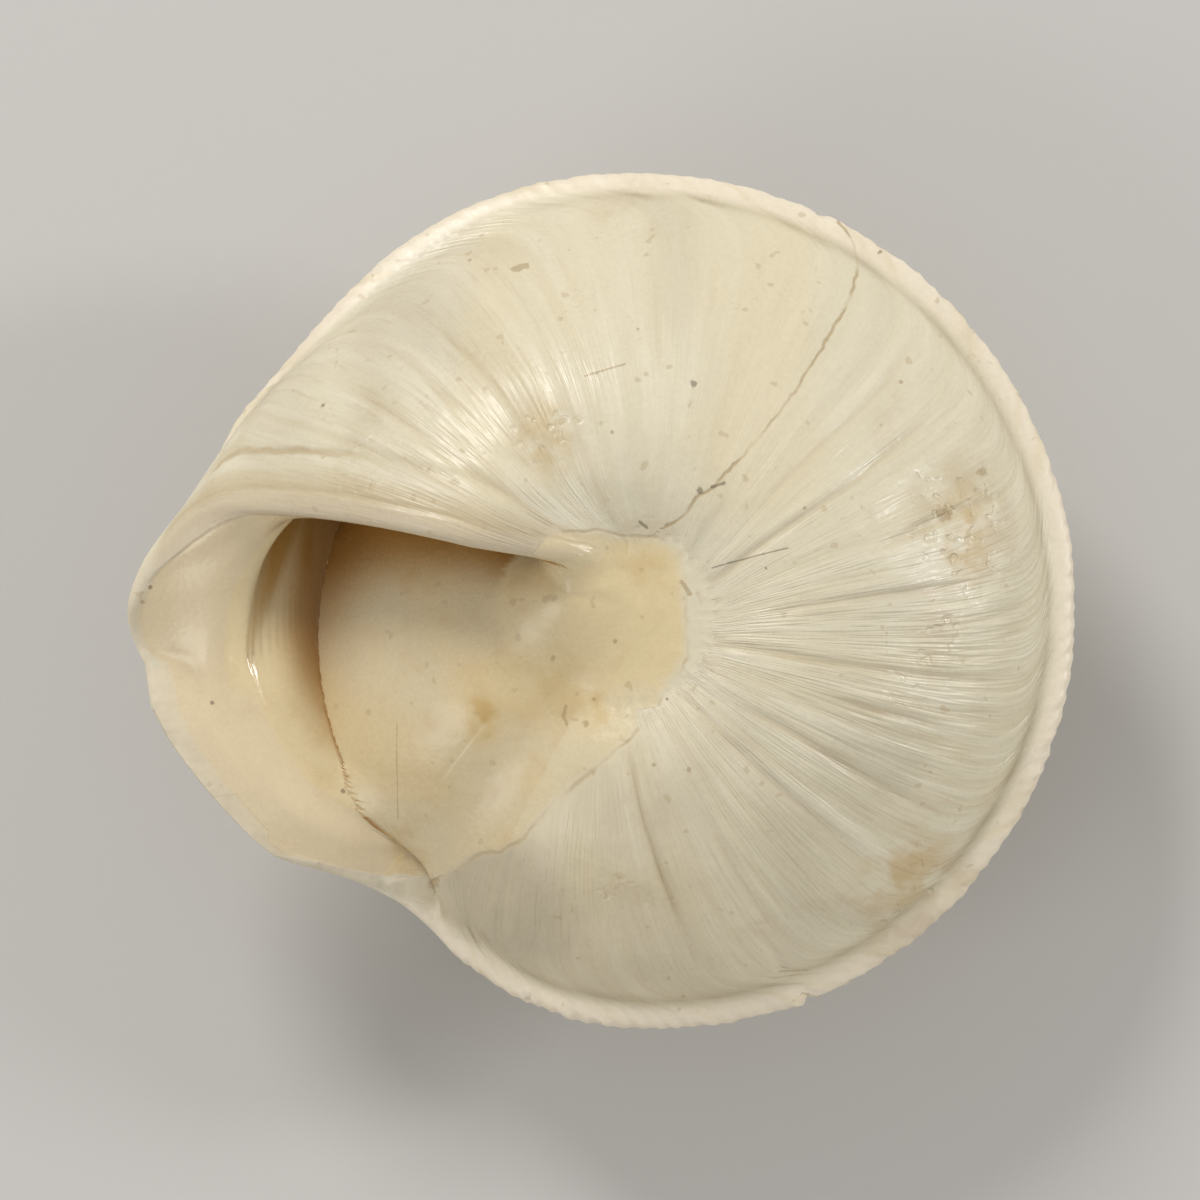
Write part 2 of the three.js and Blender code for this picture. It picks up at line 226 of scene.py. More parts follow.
# A place on the section is a number: 0 to 1 from the seam over the spire side, 1 to 2 over the keel's ridge,
# and 2 to 3 over the base to the axis.
def section(a, u):
    """The outer face at angle a and place u: distance from the axis and height."""
    r, z = keel_radius(a), keel_height(a)
    size = np.minimum(1, r / FULL_KEEL_RADIUS)
    before = keel_radius(a - 360)
    size_before = clamp01(before / FULL_KEEL_RADIUS)
    seam_x = np.maximum(before - SEAM_IN * size_before, AXIS_GAP)
    seam_y = keel_height(a - 360) + SEAM_UP * size_before
    low_x, low_y = r + KEEL_RIDGE[0][0] * size, z + KEEL_RIDGE[0][1] * size
    length = np.hypot(low_x - seam_x, low_y - seam_y)
    s = clamp01(u)
    bulge = RIBBON_BULGE * size * 4 * s * (1 - s) / np.maximum(length, 0.1)
    spire = (
        seam_x + (low_x - seam_x) * s + (low_y - seam_y) * bulge,
        seam_y + (low_y - seam_y) * s - (low_x - seam_x) * bulge,
    )
    ox, oy = along(RIDGE_CURVE, clamp01(u - 1))
    foot_x, foot_y = r + KEEL_RIDGE[-1][0] * size, z + KEEL_RIDGE[-1][1] * size
    bx, by = along(BASE_CURVE, clamp01(u - 2))
    base = np.maximum(bx * foot_x, AXIS_GAP), foot_y + by * foot_x
    on_spire, on_ridge = u < 1, (u >= 1) & (u < 2)
    x = np.where(on_spire, spire[0], np.where(on_ridge, r + ox * size, base[0]))
    y = np.where(on_spire, spire[1], np.where(on_ridge, z + oy * size, base[1]))
    return x, y


def outward(a, u):
    """The direction square to the outer face; over the keel's ridge it points straight out."""
    x0, y0 = section(a, np.maximum(u - 0.03, 0))
    x1, y1 = section(a, np.minimum(u + 0.03, 3))
    nx, ny = y1 - y0, x0 - x1
    length = np.hypot(nx, ny)
    nx, ny = nx / length, ny / length
    on = smooth((u - 0.94) / 0.06) * smooth((2.04 - u) / 0.04)
    nx, ny = nx + (1 - nx) * on, ny + (0.06 - ny) * on
    length = np.hypot(nx, ny)
    return nx / length, ny / length


def across(u):
    """0 at the seam, 1 on the keel and back towards 0 at the axis."""
    return np.where(u < 1, u, np.where(u < 2, 1.0, along(BASE_CURVE, clamp01(u - 2))[0]))


def lean(u):
    share = across(u)
    base = np.interp(share, LEAN_X, LEAN_A)
    spire = KEEL_LEAN[0] + (SPIRE_LEAN - KEEL_LEAN[0]) * (1 - share) ** SPIRE_LEAN_POWER
    keel = KEEL_LEAN[0] + (KEEL_LEAN[1] - KEEL_LEAN[0]) * (u - 1)
    return np.where(u < 1, spire, np.where(u < 2, keel, base))


def inner(a, u, thick):
    x, y = section(a, u)
    nx, ny = outward(a, u)
    zero = np.zeros_like(u)
    foot_x, foot_y = section(a, zero + 2)
    size = WALL + CORNER_FULL * (thick - WALL)
    corner_x = foot_x - CORNER_IN * size
    corner_y = foot_y + CORNER_UP * size - KEEL_RIDGE[-1][1]
    seam_x, seam_y = section(a, zero)
    snx, sny = outward(a, zero + 0.3)
    s = clamp01(u)
    fill = SEAM_FILL * thick
    spire_x = (seam_x - snx * fill) * (1 - s) + (corner_x + KEEL_CORNER[0][0]) * s
    spire_y = (seam_y - sny * fill) * (1 - s) + (corner_y + KEEL_CORNER[0][1]) * s
    root = clamp01(1 - u / 0.08)
    spire_x = spire_x + (seam_x + SEAM_ROOT[0] - spire_x) * root
    spire_y = spire_y + (seam_y + SEAM_ROOT[1] - spire_y) * root
    cx, cy = along(CORNER_CURVE, clamp01(u - 1))
    away = np.minimum(foot_x - x, CORNER_REACH)
    base_x = np.minimum(x - nx * thick, corner_x + KEEL_CORNER[-1][0] + CORNER_OPENS[0] * away)
    base_y = np.maximum(y - ny * thick, corner_y + KEEL_CORNER[-1][1] + CORNER_OPENS[1] * away)
    on_spire, on_ridge = u < 1, (u >= 1) & (u < 2)
    return (
        np.where(on_spire, spire_x, np.where(on_ridge, corner_x + cx, base_x)),
        np.where(on_spire, spire_y, np.where(on_ridge, corner_y + cy, base_y)),
    )


# Growth ridges: their usual spacing and height, the octaves that they are made of, and their
# strength round the whorl.
RIDGE_SPACING = 0.42
RIDGE_HEIGHT = 0.015
RIDGE_PERIODS = [1.3, 2.6, 5.2, 10.4]
RIDGE_STRENGTH = [
    (-400, 0.7), (-182, 0.7), (-110, 0.7), (-60, 0.75), (-25, 1.15), (20, 1.0), (45, 0.55), (75, 0.35),
    (110, 0.35), (132, 0.85), (158, 1.2), (178, 0.8),
]
# Deeper growth grooves on the base: growth angle, depth.
GROOVES = [
    (-100, 0.02), (-66, 0.05), (-51, 0.025), (-31, 0.03), (-18, 0.045), (-4, 0.055), (5, 0.03), (22, 0.035),
    (33, 0.025), (50, 0.04), (60, 0.02), (104, 0.02), (128, 0.025), (141, 0.04), (150, 0.035), (157, 0.04),
    (164, 0.03),
]
GROOVE_WIDTH = 0.09
# The keel's cord: its teeth, the furrow inside it, and the two healed breaks.
TEETH_PERIOD = 2.5
TEETH_SLANT = 5.2
TEETH_HEIGHT = 0.075
TEETH_STRENGTH = [
    (-400, 0.8), (-128, 0.8), (-100, 1.1), (-50, 0.9), (0, 1.0), (60, 0.8), (90, 0.5), (150, 0.7), (178, 0.3),
]
TOOTH_RISE = 0.7
CORD_SWELL = 0.06
CORD_IN = 0.24
CORD_HALF_WIDTH = 0.18
FURROW_IN = 0.52
FURROW_WIDTH = 0.14
FURROW_DEPTH = 0.085
FURROW_STRENGTH = [(-400, 1), (-60, 1.0), (40, 1.0), (70, 0.5), (100, 0.15), (178, 0.0)]
BREAKS = [(-67.0, 0.16), (66.5, 0.1)]
BREAK_SWELL = 7.0
BREAK_WIDTH = 0.75
# The edge of the callus, round the mouth's inner side, as points on the plan.
CALLUS_EDGE = [
    (-0.5, 1.35), (0.55, 1.45), (1.0, 1.15), (1.13, 0.3), (1.15, -0.3),
    (1.13, -1.13), (0.9, -1.6), (0.36, -2.27),
    (-0.3, -2.87), (-1.1, -3.7), (-2.56, -4.75), (-4.62, -5.5), (-5.6, -6.4), (-13, -6.4), (-13, 1.35),
]


def edge_distance(x, y, polygon):
    """Distance to a polygon's edge on the plan, above 0 inside it."""
    best = np.full(np.shape(x), 1e9)
    inside = np.zeros(np.shape(x), bool)
    for (x0, y0), (x1, y1) in zip(polygon, polygon[1:] + polygon[:1]):
        dx, dy = x1 - x0, y1 - y0
        t = clamp01(((x - x0) * dx + (y - y0) * dy) / (dx * dx + dy * dy))
        best = np.minimum(best, np.hypot(x - x0 - t * dx, y - y0 - t * dy))
        crosses = (y0 > y) != (y1 > y)
        inside ^= crosses & (x < x0 + (y - y0) * dx / (dy if dy else 1e-9))
    return np.where(inside, best, -best)


def callus_distance(g, u, x, a):
    """How far inside the edge of the callus a place on the outer face lies; below 0 outside it."""
    angle = np.radians(a)
    wavy = 0.12 * noise(g / 4.0, u * 2, 31) + 0.06 * noise(g / 1.5, u * 5, 32)
    d = edge_distance(x * np.cos(angle), x * np.sin(angle), CALLUS_EDGE) + wavy
    reached = (u > 1.9) & ((g < -60) | (x < 2.2))
    return np.where(reached, d, -3.0)


def strength(table, g):
    return np.interp(g, *zip(*table))


def growth_ridges(g, share, radius, seed):
    """Ridges along the growth lines, about as wide near the axis as far from it; between -1 and 1."""
    total = 0
    for k, period in enumerate(RIDGE_PERIODS):
        spacing = period * np.maximum(radius, 0.5) * math.pi / 180
        weight = bell(np.log2(spacing / RIDGE_SPACING) / 0.95)
        bend = 0.35 * period * noise(g / (7 * period), share * 5, seed + 10 + k)
        total = total + weight * noise((g + bend) / (0.5 * period), share * 4, seed + k)
    return total


def grooves(g, share, radius):
    total = 0
    for k, (at, depth) in enumerate(GROOVES):
        bend = 1.3 * noise(share * 4.0, 0.5, 60 + k)
        off = (g - at - bend) * radius * math.pi / 180
        ends = smooth((share - 0.12 - 0.2 * (k % 3)) / 0.12) * smooth((0.97 - 0.12 * (k % 2) - share) / 0.12)
        total = total - depth * ends * (bell(off / GROOVE_WIDTH) - 0.5 * bell((off - 0.2) / 0.14))
    return total


def keel_relief(g, u, a, x):
    """The cord's teeth, the furrow inside it and the healed breaks."""
    inside = keel_radius(a) - x
    lower = smooth((u - 1.08) / 0.25)
    on_cord = lower * np.where(u < 2, 1.0, smooth((0.5 - inside) / 0.25))
    phase = (a + TEETH_SLANT * inside) / TEETH_PERIOD + 0.3 * noise(g / 7, 0, 8)
    saw = np.mod(phase, 1.0)
    teeth = np.where(saw < TOOTH_RISE, saw / TOOTH_RISE, (1 - saw) / (1 - TOOTH_RISE)) - 0.5
    uneven = 0.6 + 0.4 * noise(g / 5, 0.5, 9)
    facets = 0.03 * noise(g / 3.1, 0.2, 10) + 0.012 * noise(g / 1.3, 0.7, 12)
    relief = on_cord * strength(TEETH_STRENGTH, g) * (TEETH_HEIGHT * teeth * uneven + facets)
    on_base = u > 1.6
    relief = relief + on_base * CORD_SWELL * bell((inside - CORD_IN) / CORD_HALF_WIDTH)
    furrow = FURROW_DEPTH * strength(FURROW_STRENGTH, g) * bell((inside - FURROW_IN) / FURROW_WIDTH)
    relief = relief - on_base * furrow
    for at, depth in BREAKS:
        off = a - at + 2.2 * inside
        swell = 0.5 * depth * smooth(1 + off / BREAK_SWELL) * (off < 0)
        relief = relief + lower * bell(inside / 0.9) * (swell - depth * bell(off / BREAK_WIDTH))
    return relief


def relief(g, u, a, x):
    """Height in millimetres of all growth marks over the smooth shell."""
    share = across(u)
    fade = smooth((keel_radius(a) - APEX_RADIUS) / FULL_KEEL_RADIUS)
    bare = smooth(0.5 - callus_distance(g, u, x, a) / 0.5)
    on_base = smooth((u - 2.02) / 0.06) * smooth((3 - u) / 0.2) * bare
    patch = 0.75 + 0.35 * noise(g / 19, share * 4, 5)
    base = on_base * strength(RIDGE_STRENGTH, g) * patch * RIDGE_HEIGHT * growth_ridges(g, share, x, 1)
    base = base + on_base * grooves(g, share, x) * (g > -182)
    base = base + on_base * 0.012 * noise(g / 3.0, share * 26, 7)
    on_spire = smooth((0.98 - u) / 0.08)
    wrinkles = 0.055 * noise(g / 3.6, u * 1.2, 21) + 0.035 * noise(g / 1.7, u * 3, 22)
    wrinkles = wrinkles + 0.03 * noise(g / 1.5, u * 9, 23)
    return (base + on_spire * wrinkles + keel_relief(g, u, a, x)) * fade


def collar(behind, g, u):
    """Creases and swells that run round the base just outside the lip."""
    share = across(u)
    on_base = smooth((0.99 - share) / 0.06) * smooth((share - 0.22) / 0.2) * (u > 2)
    wander = 0.07 * noise(share * 9, 0.5, 41)
    uneven = 0.75 + 0.35 * noise(share * 13, 0.5, 42)
    creases = sum(height * bell((behind + wander - at) / width) for at, width, height in COLLAR)
    return on_base * uneven * creases


def slant(u):
    """The share of the distance along the keel that counts at place u."""
    return np.where(u < 1, SPIRE_SLANT + (1 - SPIRE_SLANT) * smooth((u - 0.8) / 0.2), 1)


def wall_points(g, u, sunk):
    """Outer and inner points of the wall, in millimetres: growth angles g by places u."""
    g, u = np.broadcast_arrays(g[:, None], u[None, :])
    share = across(u)
    on_base = u >= 2
    a = g + lean(u)
    x, y = section(a, u)
    back_along_keel = np.radians(LIP_ANGLE - g) * np.maximum(x, 2)
    ahead = LIP_FORWARD * smooth((0.985 - share) / 0.1) * smooth((share - 0.11) / 0.08) * on_base
    a = a + np.degrees(ahead * (1 - smooth(back_along_keel / LIP_FORWARD_REACH)) / np.maximum(x, 2))
    x, y = section(a, u)
    nx, ny = outward(a, u)
    behind = back_along_keel * slant(u)

    spire_turn = np.interp(share, *zip(*SPIRE_TURN))
    ridge_turn = SPIRE_TURN[-1][1] + (1 - SPIRE_TURN[-1][1]) * smooth(u - 1)
    base_turn = BASE_FLARE * share + (1 - BASE_FLARE) * bell((1 - share) / KEEL_FLARE_WIDTH)
    turn = np.where(u < 1, spire_turn, np.where(on_base, base_turn, ridge_turn))
    flare_reach = FLARE_REACH + (SPIRE_FLARE_REACH - FLARE_REACH) * smooth((0.97 - u) / 0.2)
    flare = turn * FLARE * np.exp(-behind / flare_reach)
    waist = PINCH * bell((back_along_keel - PINCH_BACK) / PINCH_REACH) * bell((1 - share) / PINCH_WIDTH)

    at_keel = bell((1 - share) / BEAD_WIDTH)
    bead_back = np.where(u > 1.5, BEAD_BACK[1], BEAD_BACK[0]) * (1 - at_keel) + BEAD_BACK[2] * at_keel
    bead_ends = np.where(u > 2, BEAD[2] * bell(share / 0.3), -BEAD[0] * smooth(1 - share / 0.35))
    bead = BEAD[0] + BEAD[1] * at_keel + bead_ends
    rim_length = RIM_LENGTH * (1 + SEAM_TAPER * np.where(u < 1, (1 - share) ** 2, 0))
    round_ = np.sqrt(1 - (1 - clamp01(behind / rim_length)) ** 2)
    on_spire = smooth((0.97 - u) / 0.2)
    bead_reach = BEAD_REACH + (SPIRE_BEAD_REACH - BEAD_REACH) * on_spire
    bead = bead * (1 + (SPIRE_BEAD_SHARE - 1) * on_spire)
    full = WALL + bead * bell((behind - bead_back) / bead_reach)
    thick = RIM_EDGE + (full - RIM_EDGE) * round_

    level = np.where(on_base, 1 - smooth((1 - share) / 0.2), 1)
    tx = nx + (1 - nx) * level
    ty = ny + (TURN_DROP + (TURN_RISE - TURN_DROP) * smooth(u - 1) - ny) * level
    rounded = (thick - full) / 2 * smooth(u / 0.1)
    marks = relief(g, u, a, x) * smooth((behind - 0.25) / 0.5) + collar(behind, g, u)
    raised = rounded - sunk[:, None] + marks
    outer_x = np.maximum(x + nx * raised + tx * flare - waist, AXIS_GAP)
    ix, iy = inner(a, u, thick)
    inner_x = np.maximum(ix + nx * rounded + tx * flare - waist, AXIS_GAP)
    outer_y, inner_y = y + ny * raised + ty * flare, iy + ny * rounded + ty * flare
    return spun(outer_x, outer_y, a), spun(inner_x, inner_y, a)


def spun(x, height, a):
    """Points at distance x from the axis, turned about it by the angles a."""
    a = np.radians(a)
    x, height = np.broadcast_arrays(x, height)
    return np.stack([x * np.cos(a), x * np.sin(a), height], -1)


def closed_band(name, outer_rows, inner_rows, g, u_out, u_in):
    """A closed mesh of a band: outer grid, inner grid or core line, long edges and ends."""
    rows, n = outer_rows.shape[:2]
    m = inner_rows.shape[1]
    ring = n + m
    points = np.concatenate([outer_rows, inner_rows[:, ::-1]], 1).reshape(-1, 3)
    place = np.concatenate([u_out, u_in[::-1]])
    side = np.concatenate([np.zeros(n), np.ones(m)])
    k = np.arange(ring)
    i = np.arange(rows - 1)[:, None]
    here, after = i * ring + k, i * ring + (k + 1) % ring
    quads = np.stack([here, here + ring, after + ring, after], -1).reshape(-1, 4)
    end = (rows - 1) * ring
    caps = []
    # Each column of the outer face is joined to the nearest one of the inner face.
    mate = np.searchsorted(0.5 * (u_in[1:] + u_in[:-1]), u_out) if m > 1 else np.zeros(n, int)
    for j in range(n - 1):
        caps.append((j, j + 1, ring - 1 - mate[j]))
        caps.append((end + j, end + ring - 1 - mate[j], end + j + 1))
        for step in range(mate[j], mate[j + 1]):
            low, high = ring - 1 - step, ring - 2 - step
            caps.append((j + 1, high, low))
            caps.append((end + j + 1, end + low, end + high))
    faces = [tuple(q) for q in quads.tolist()] + caps
    growth = np.repeat(g, ring)
    return piece(name, points, faces, growth, np.tile(place, rows), np.tile(side, rows))


def piece(name, points, faces, growth, place, side):
    mesh = bpy.data.meshes.new(name)
    mesh.from_pydata((np.asarray(points) * MM).tolist(), [], faces)
    corner = np.empty(len(mesh.loops), int)
    mesh.loops.foreach_get("vertex_index", corner)
    for key, values in (("growth", growth), ("place", place), ("side", side)):
        layer = mesh.attributes.new(key, "FLOAT", "CORNER")
        layer.data.foreach_set("value", np.asarray(values, np.float32)[corner])
    obj = bpy.data.objects.new(name, mesh)
    bpy.context.scene.collection.objects.link(obj)
    return obj


def places(spire, ridge, base):
    over_spire = np.linspace(0, 1, spire, endpoint=False)
    over_ridge = 1 + np.linspace(0, 1, ridge, endpoint=False)
    return np.concatenate([over_spire, over_ridge, 2 + np.linspace(0, 1, base) ** 0.9])


def solid_stretch(name, g, u):
    sunk = np.zeros(len(g))
    sunk[[0, -1]] = LAP_SUNK
    outer_rows, _ = wall_points(g, u, sunk)
    core_z = keel_height(g - 360) + 0.2 * np.maximum(0, keel_radius(g - 360))
    core = spun(CORE_RADIUS, core_z, g)[:, None]
    return closed_band(name, outer_rows, core, g, u, np.array([3.0]))


def coil():
    blind = LIP_ANGLE - HOLLOW_ANGLE
    first = LIP_ANGLE - 360 * TURNS
    seen_from = blind - 200.0
    bands = []
    coarse = places(14, 9, 4)
    fine = places(SPIRE_COLUMNS, RIDGE_COLUMNS, BASE_COLUMNS)
    inside = places(*INNER_COLUMNS)
    cuts = list(np.arange(first, seen_from - 40, STRETCH)) + [seen_from, blind]
    for a, b in zip(cuts[:-1], cuts[1:]):
        near = a >= seen_from - 1
        count = int(round((b - a) / (EARLY_STEP if near else EARLIEST_STEP)))
        step = (b - a) / count
        rows = a + step * np.arange(count + 2)
        bands.append(solid_stretch("early", rows, fine if near else coarse))
        lap = rows[-2]
    lip = LIP_ANGLE - np.array(LIP_ROWS)[::-1]
    slow = LIP_ANGLE - LIP_ROWS_UNTIL
    count, lip_count = int(round((slow - lap) / ROW_STEP)), int(round((lip[0] - slow) / LIP_ROW_STEP))
    steady = np.linspace(lap, slow, count, endpoint=False)
    rows = np.concatenate([steady, np.linspace(slow, lip[0], lip_count, endpoint=False), lip])
    sunk = np.zeros(len(rows))
    sunk[0] = LAP_SUNK
    outer_rows, _ = wall_points(rows, fine, sunk)
    _, inner_rows = wall_points(rows, inside, sunk)
    bands.append(closed_band("last", outer_rows, inner_rows, rows, fine, inside))
    return bands


def base_height(a):
    """The base's height by the axis where the whorl has grown to angle a."""
    return keel_height(a) + KEEL_RIDGE[-1][1] + BASE_OUTLINE[-1][1] * (keel_radius(a) + KEEL_RIDGE[-1][0])


def base_by_axis(a):
    """The base's height round the axis, with the step from turn to turn smoothed out."""
    a = np.mod(a - PLUG_TO, 360) + PLUG_TO - 360
    back = smooth((a - PLUG_FROM) / (PLUG_TO - PLUG_FROM))
    high, low = base_height(PLUG_FROM), base_height(PLUG_TO - 360)
    return np.where(a < PLUG_FROM, base_height(np.minimum(a, PLUG_FROM)), high * (1 - back) + low * back)


def round_piece(name, lowest, rings, highest):
    """A closed mesh of rings of points, one over the other, between its lowest and its highest point."""
    sides = len(rings[0])
    points = np.concatenate([[lowest], *rings, [highest]])
    top = len(points) - 1
    faces = []
    for k in range(sides):
        n = (k + 1) % sides
        faces.append((0, 1 + n, 1 + k))
        for p in range(1, top - sides, sides):
            faces.append((p + k, p + n, p + sides + n, p + sides + k))
        faces.append((top - sides + k, top - sides + n, top))
    count = len(points)
    return piece(name, points, faces, np.zeros(count), np.full(count, 3.0), np.full(count, 0.5))


def columella():
    a = np.arange(RING_SIDES) * 360 / RING_SIDES
    _, radii, heights = curve_table(COLUMELLA, 24)
    rings = [spun(r, np.full(RING_SIDES, z), a) for r, z in zip(radii, heights)]
    base = base_by_axis(a)
    _, radii, heights = curve_table(COLUMELLA_TOP, 20)
    for r, z in zip(radii, heights):
        outward_share = min(1, r / 0.6)
        rings.append(spun(r, base * outward_share + AXIS_TOP * (1 - outward_share) + z, a))
    return round_piece("columella", (0, 0, 0), rings, (0, 0, AXIS_TOP - 0.1))


def swelling(x, y, z, a, b, c):
    turn = 2 * np.pi * np.arange(SWELLING_SIDES) / SWELLING_SIDES
    rings = []
    for i in range(1, SWELLING_RINGS):
        t = math.pi * i / SWELLING_RINGS
        height = np.full(SWELLING_SIDES, z - c * math.cos(t))
        wide, deep = a * math.sin(t), b * math.sin(t)
        rings.append(np.stack([x + wide * np.cos(turn), y + deep * np.sin(turn), height], -1))
    return round_piece("callus", (x, y, z - c), rings, (x, y, z + c))


def united(objects):
    first = objects[0]
    for other in objects[1:]:
        modifier = first.modifiers.new("join", "BOOLEAN")
        modifier.operation = "UNION"
        modifier.solver = "MANIFOLD"
        modifier.object = other
        graph = bpy.context.evaluated_depsgraph_get()
        graph.update()
        joined = first.evaluated_get(graph)
        mesh = bpy.data.meshes.new_from_object(joined, preserve_all_data_layers=True, depsgraph=graph)
        first.modifiers.clear()
        first.data = mesh
        bpy.data.objects.remove(other)
    return first


def neighbours_mean(co, edges, count):
    total = np.zeros_like(co)
    for axis in range(3):
        total[:, axis] = np.bincount(edges[:, 0], co[edges[:, 1], axis], len(co))
        total[:, axis] += np.bincount(edges[:, 1], co[edges[:, 0], axis], len(co))
    return total / count[:, None]


def distance(co, centre, size=1.0):
    """How far the points lie from a centre, in sizes."""
    return np.sqrt((((co - np.array(centre)) / np.array(size)) ** 2).sum(1))


def relax(co, edges, weight, times):
    """Draws the surface smooth where weight is over 0, as callus fills a corner."""
    count = np.maximum(np.bincount(edges.ravel(), minlength=len(co)), 1)
    for _ in range(times):
        co = co + (neighbours_mean(co, edges, count) - co) * weight[:, None]
    return co


def corner_values(mesh, key):
    """The mean at each vertex of an attribute that is kept at the faces' corners."""
    values = np.empty(len(mesh.loops), np.float32)
    mesh.attributes[key].data.foreach_get("value", values)
    vertex = np.empty(len(mesh.loops), int)
    mesh.loops.foreach_get("vertex_index", vertex)
    count = np.maximum(np.bincount(vertex, minlength=len(mesh.vertices)), 1)
    return np.bincount(vertex, values, len(mesh.vertices)) / count


def vertex_places(mesh):
    co = np.empty(len(mesh.vertices) * 3)
    mesh.vertices.foreach_get("co", co)
    return co.reshape(-1, 3) / MM


# Where callus rounds off the corners by the columella: centre and half sizes on the plan, and lowest height.
CALLUS_FILL = (-0.7, -0.15, 2.3, 2.2)
CALLUS_FILL_ABOVE = 5.8
# Where the lip runs out on the whorl before.
LIP_END = (-5.35, -5.0, 5.1)
LIP_END_REACH = 2.4
# The rounded inside of the lip's corner, and where the lip's edge turns over it, on the plan.
POCKET = (-9.2, 1.4)
POCKET_REACH = 2.3
EDGE_TURN = (-9.45, 2.7)
EDGE_TURN_REACH = 1.7
# The apex is worn flat at height 0: how high this reaches, and how rounded its rim is.
WORN_BELOW = 0.3
WORN_ROUND = 0.05


def finish_surface(mesh):
    """Rounds the inside of the lip and the corners by the columella, and wears the apex flat."""
    co = vertex_places(mesh)
    edges = np.empty(len(mesh.edges) * 2, int)
    mesh.edges.foreach_get("vertices", edges)
    edges = edges.reshape(-1, 2)
    growth, place, side = (corner_values(mesh, key) for key in ("growth", "place", "side"))
    behind = np.radians(LIP_ANGLE - growth) * np.hypot(co[:, 0], co[:, 1])
    inside_lip = smooth((side - 0.6) / 0.3) * (place < 2.6)
    inside_lip = inside_lip * smooth((behind - 0.25) / 0.5) * smooth((14 - behind) / 3)
    co = relax(co, edges, 0.7 * inside_lip, 60)
    near = distance(co, LIP_END)
    co = relax(co, edges, 0.6 * smooth((LIP_END_REACH - near) / 1.5), 90)
    near = distance(co[:, :2], POCKET)
    co = relax(co, edges, 0.7 * smooth(POCKET_REACH - near) * smooth((side - 0.7) / 0.25), 90)
    near = distance(co[:, :2], EDGE_TURN)
    co = relax(co, edges, 0.6 * smooth(EDGE_TURN_REACH - near), 50)
    x, y, width, height = CALLUS_FILL
    near = np.hypot((co[:, 0] - x) / width, (co[:, 1] - y) / height)
    weight = 0.6 * smooth((1.25 - near) / 0.4) * smooth((co[:, 2] - CALLUS_FILL_ABOVE) / 0.5)
    co = relax(co, edges, weight, 120)
    z = co[:, 2]
    low = 1 - smooth((z - WORN_BELOW) / WORN_BELOW)
    co[:, 2] = 0.5 * (z + np.sqrt(z**2 + WORN_ROUND**2)) * low + z * (1 - low)
    mesh.vertices.foreach_set("co", (co * MM).ravel())
    mesh.update()


pieces = coil() + [columella()] + [swelling(*size) for size in CALLUS]
shell = united(pieces)
finish_surface(shell.data)
shell.name = "shell_body"
shell.data.shade_smooth()
shell.data.set_sharp_from_angle(angle=math.radians(38))

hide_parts("shell")
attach(shell, "root")


# The camera: it looks down on the mouth, a little from the lower right.
CENTRE = Vector((-0.0009, 0.00035, 0.006))
TILT_Y = 6.5
TILT_X = 5.0
DISTANCE = 0.24
FILM_WIDTH = 36
IMAGE_SIZE = 1200
PIXELS_PER_MM = 47.6
BACK = Vector((math.sin(math.radians(TILT_X)), -math.sin(math.radians(TILT_Y)), 1)).normalized()
RIGHT = Vector((0, 1, 0)).cross(BACK).normalized()
UP = BACK.cross(RIGHT)


def make_camera():
    data = bpy.data.cameras.new("camera")
    data.sensor_width = FILM_WIDTH
    data.lens = FILM_WIDTH * DISTANCE / (IMAGE_SIZE / PIXELS_PER_MM * MM)
    data.clip_start = 0.01
    data.clip_end = 5
    camera = bpy.data.objects.new("camera", data)
    bpy.context.scene.collection.objects.link(camera)
    turned = Matrix((RIGHT, UP, BACK)).transposed().to_4x4()
    camera.matrix_world = Matrix.Translation(CENTRE + BACK * DISTANCE) @ turned
    bpy.context.scene.camera = camera


# How far the painted shade under the lip reaches over the whorl before, in degrees, and a distance far from
# the lip.
UNDER_LIP_SHADE = 25.0
FAR_BEHIND = 30.0
# Where the lip's edge on the base lies: distance from the axis and angle.
LIP_LINE = [(3.4, 151), (5.8, 155), (9.0, 163)]

# Colours of the shell; the furrow's olive, the base lip's darker tone, the dull grey, the deep brown and the
# junction brown also stand in for painted shade.
CHALK = (0.75, 0.675, 0.485, 1)
WHITE = (0.83, 0.765, 0.59, 1)
CREAM = (0.78, 0.665, 0.43, 1)
TAN = (0.5, 0.375, 0.2, 1)
GREY = (0.59, 0.53, 0.395, 1)
FURROW_OLIVE_SHADE = (0.4, 0.33, 0.19, 1)
BASE_LIP_TONE_AND_SHADE = (0.6, 0.49, 0.31, 1)
DULL_GREY_AND_SHADE = (0.5, 0.43, 0.3, 1)
CORD = (0.9, 0.8, 0.63, 1)
LIP = (0.84, 0.69, 0.415, 1)
LIP_EDGE = (0.74, 0.625, 0.47, 1)
CALLUS_CREAM = (0.79, 0.65, 0.385, 1)
OCHRE = (0.52, 0.29, 0.065, 1)
DEEP_SHADE = (0.38, 0.165, 0.02, 1)
JUNCTION_SHADE = (0.3, 0.14, 0.03, 1)
STAIN = (0.62, 0.42, 0.15, 1)
SPECK = (0.42, 0.3, 0.15, 1)
DARK = (0.17, 0.13, 0.08, 1)


class Seen:
    """Finds the place on the shell that the photograph shows at a pixel."""

    def __init__(self, mesh):
        points = [v.co for v in mesh.vertices]
        self.tree = BVHTree.FromPolygons(points, [tuple(p.vertices) for p in mesh.polygons])

    def at(self, pixel):
        step = MM / PIXELS_PER_MM
        right, up = (pixel[0] - IMAGE_SIZE / 2) * step, (IMAGE_SIZE / 2 - pixel[1]) * step
        eye = CENTRE + BACK * DISTANCE
        hit = self.tree.ray_cast(eye, (CENTRE + RIGHT * right + UP * up - eye).normalized())[0]
        return hit / MM if hit else Vector((0, 0, -100))


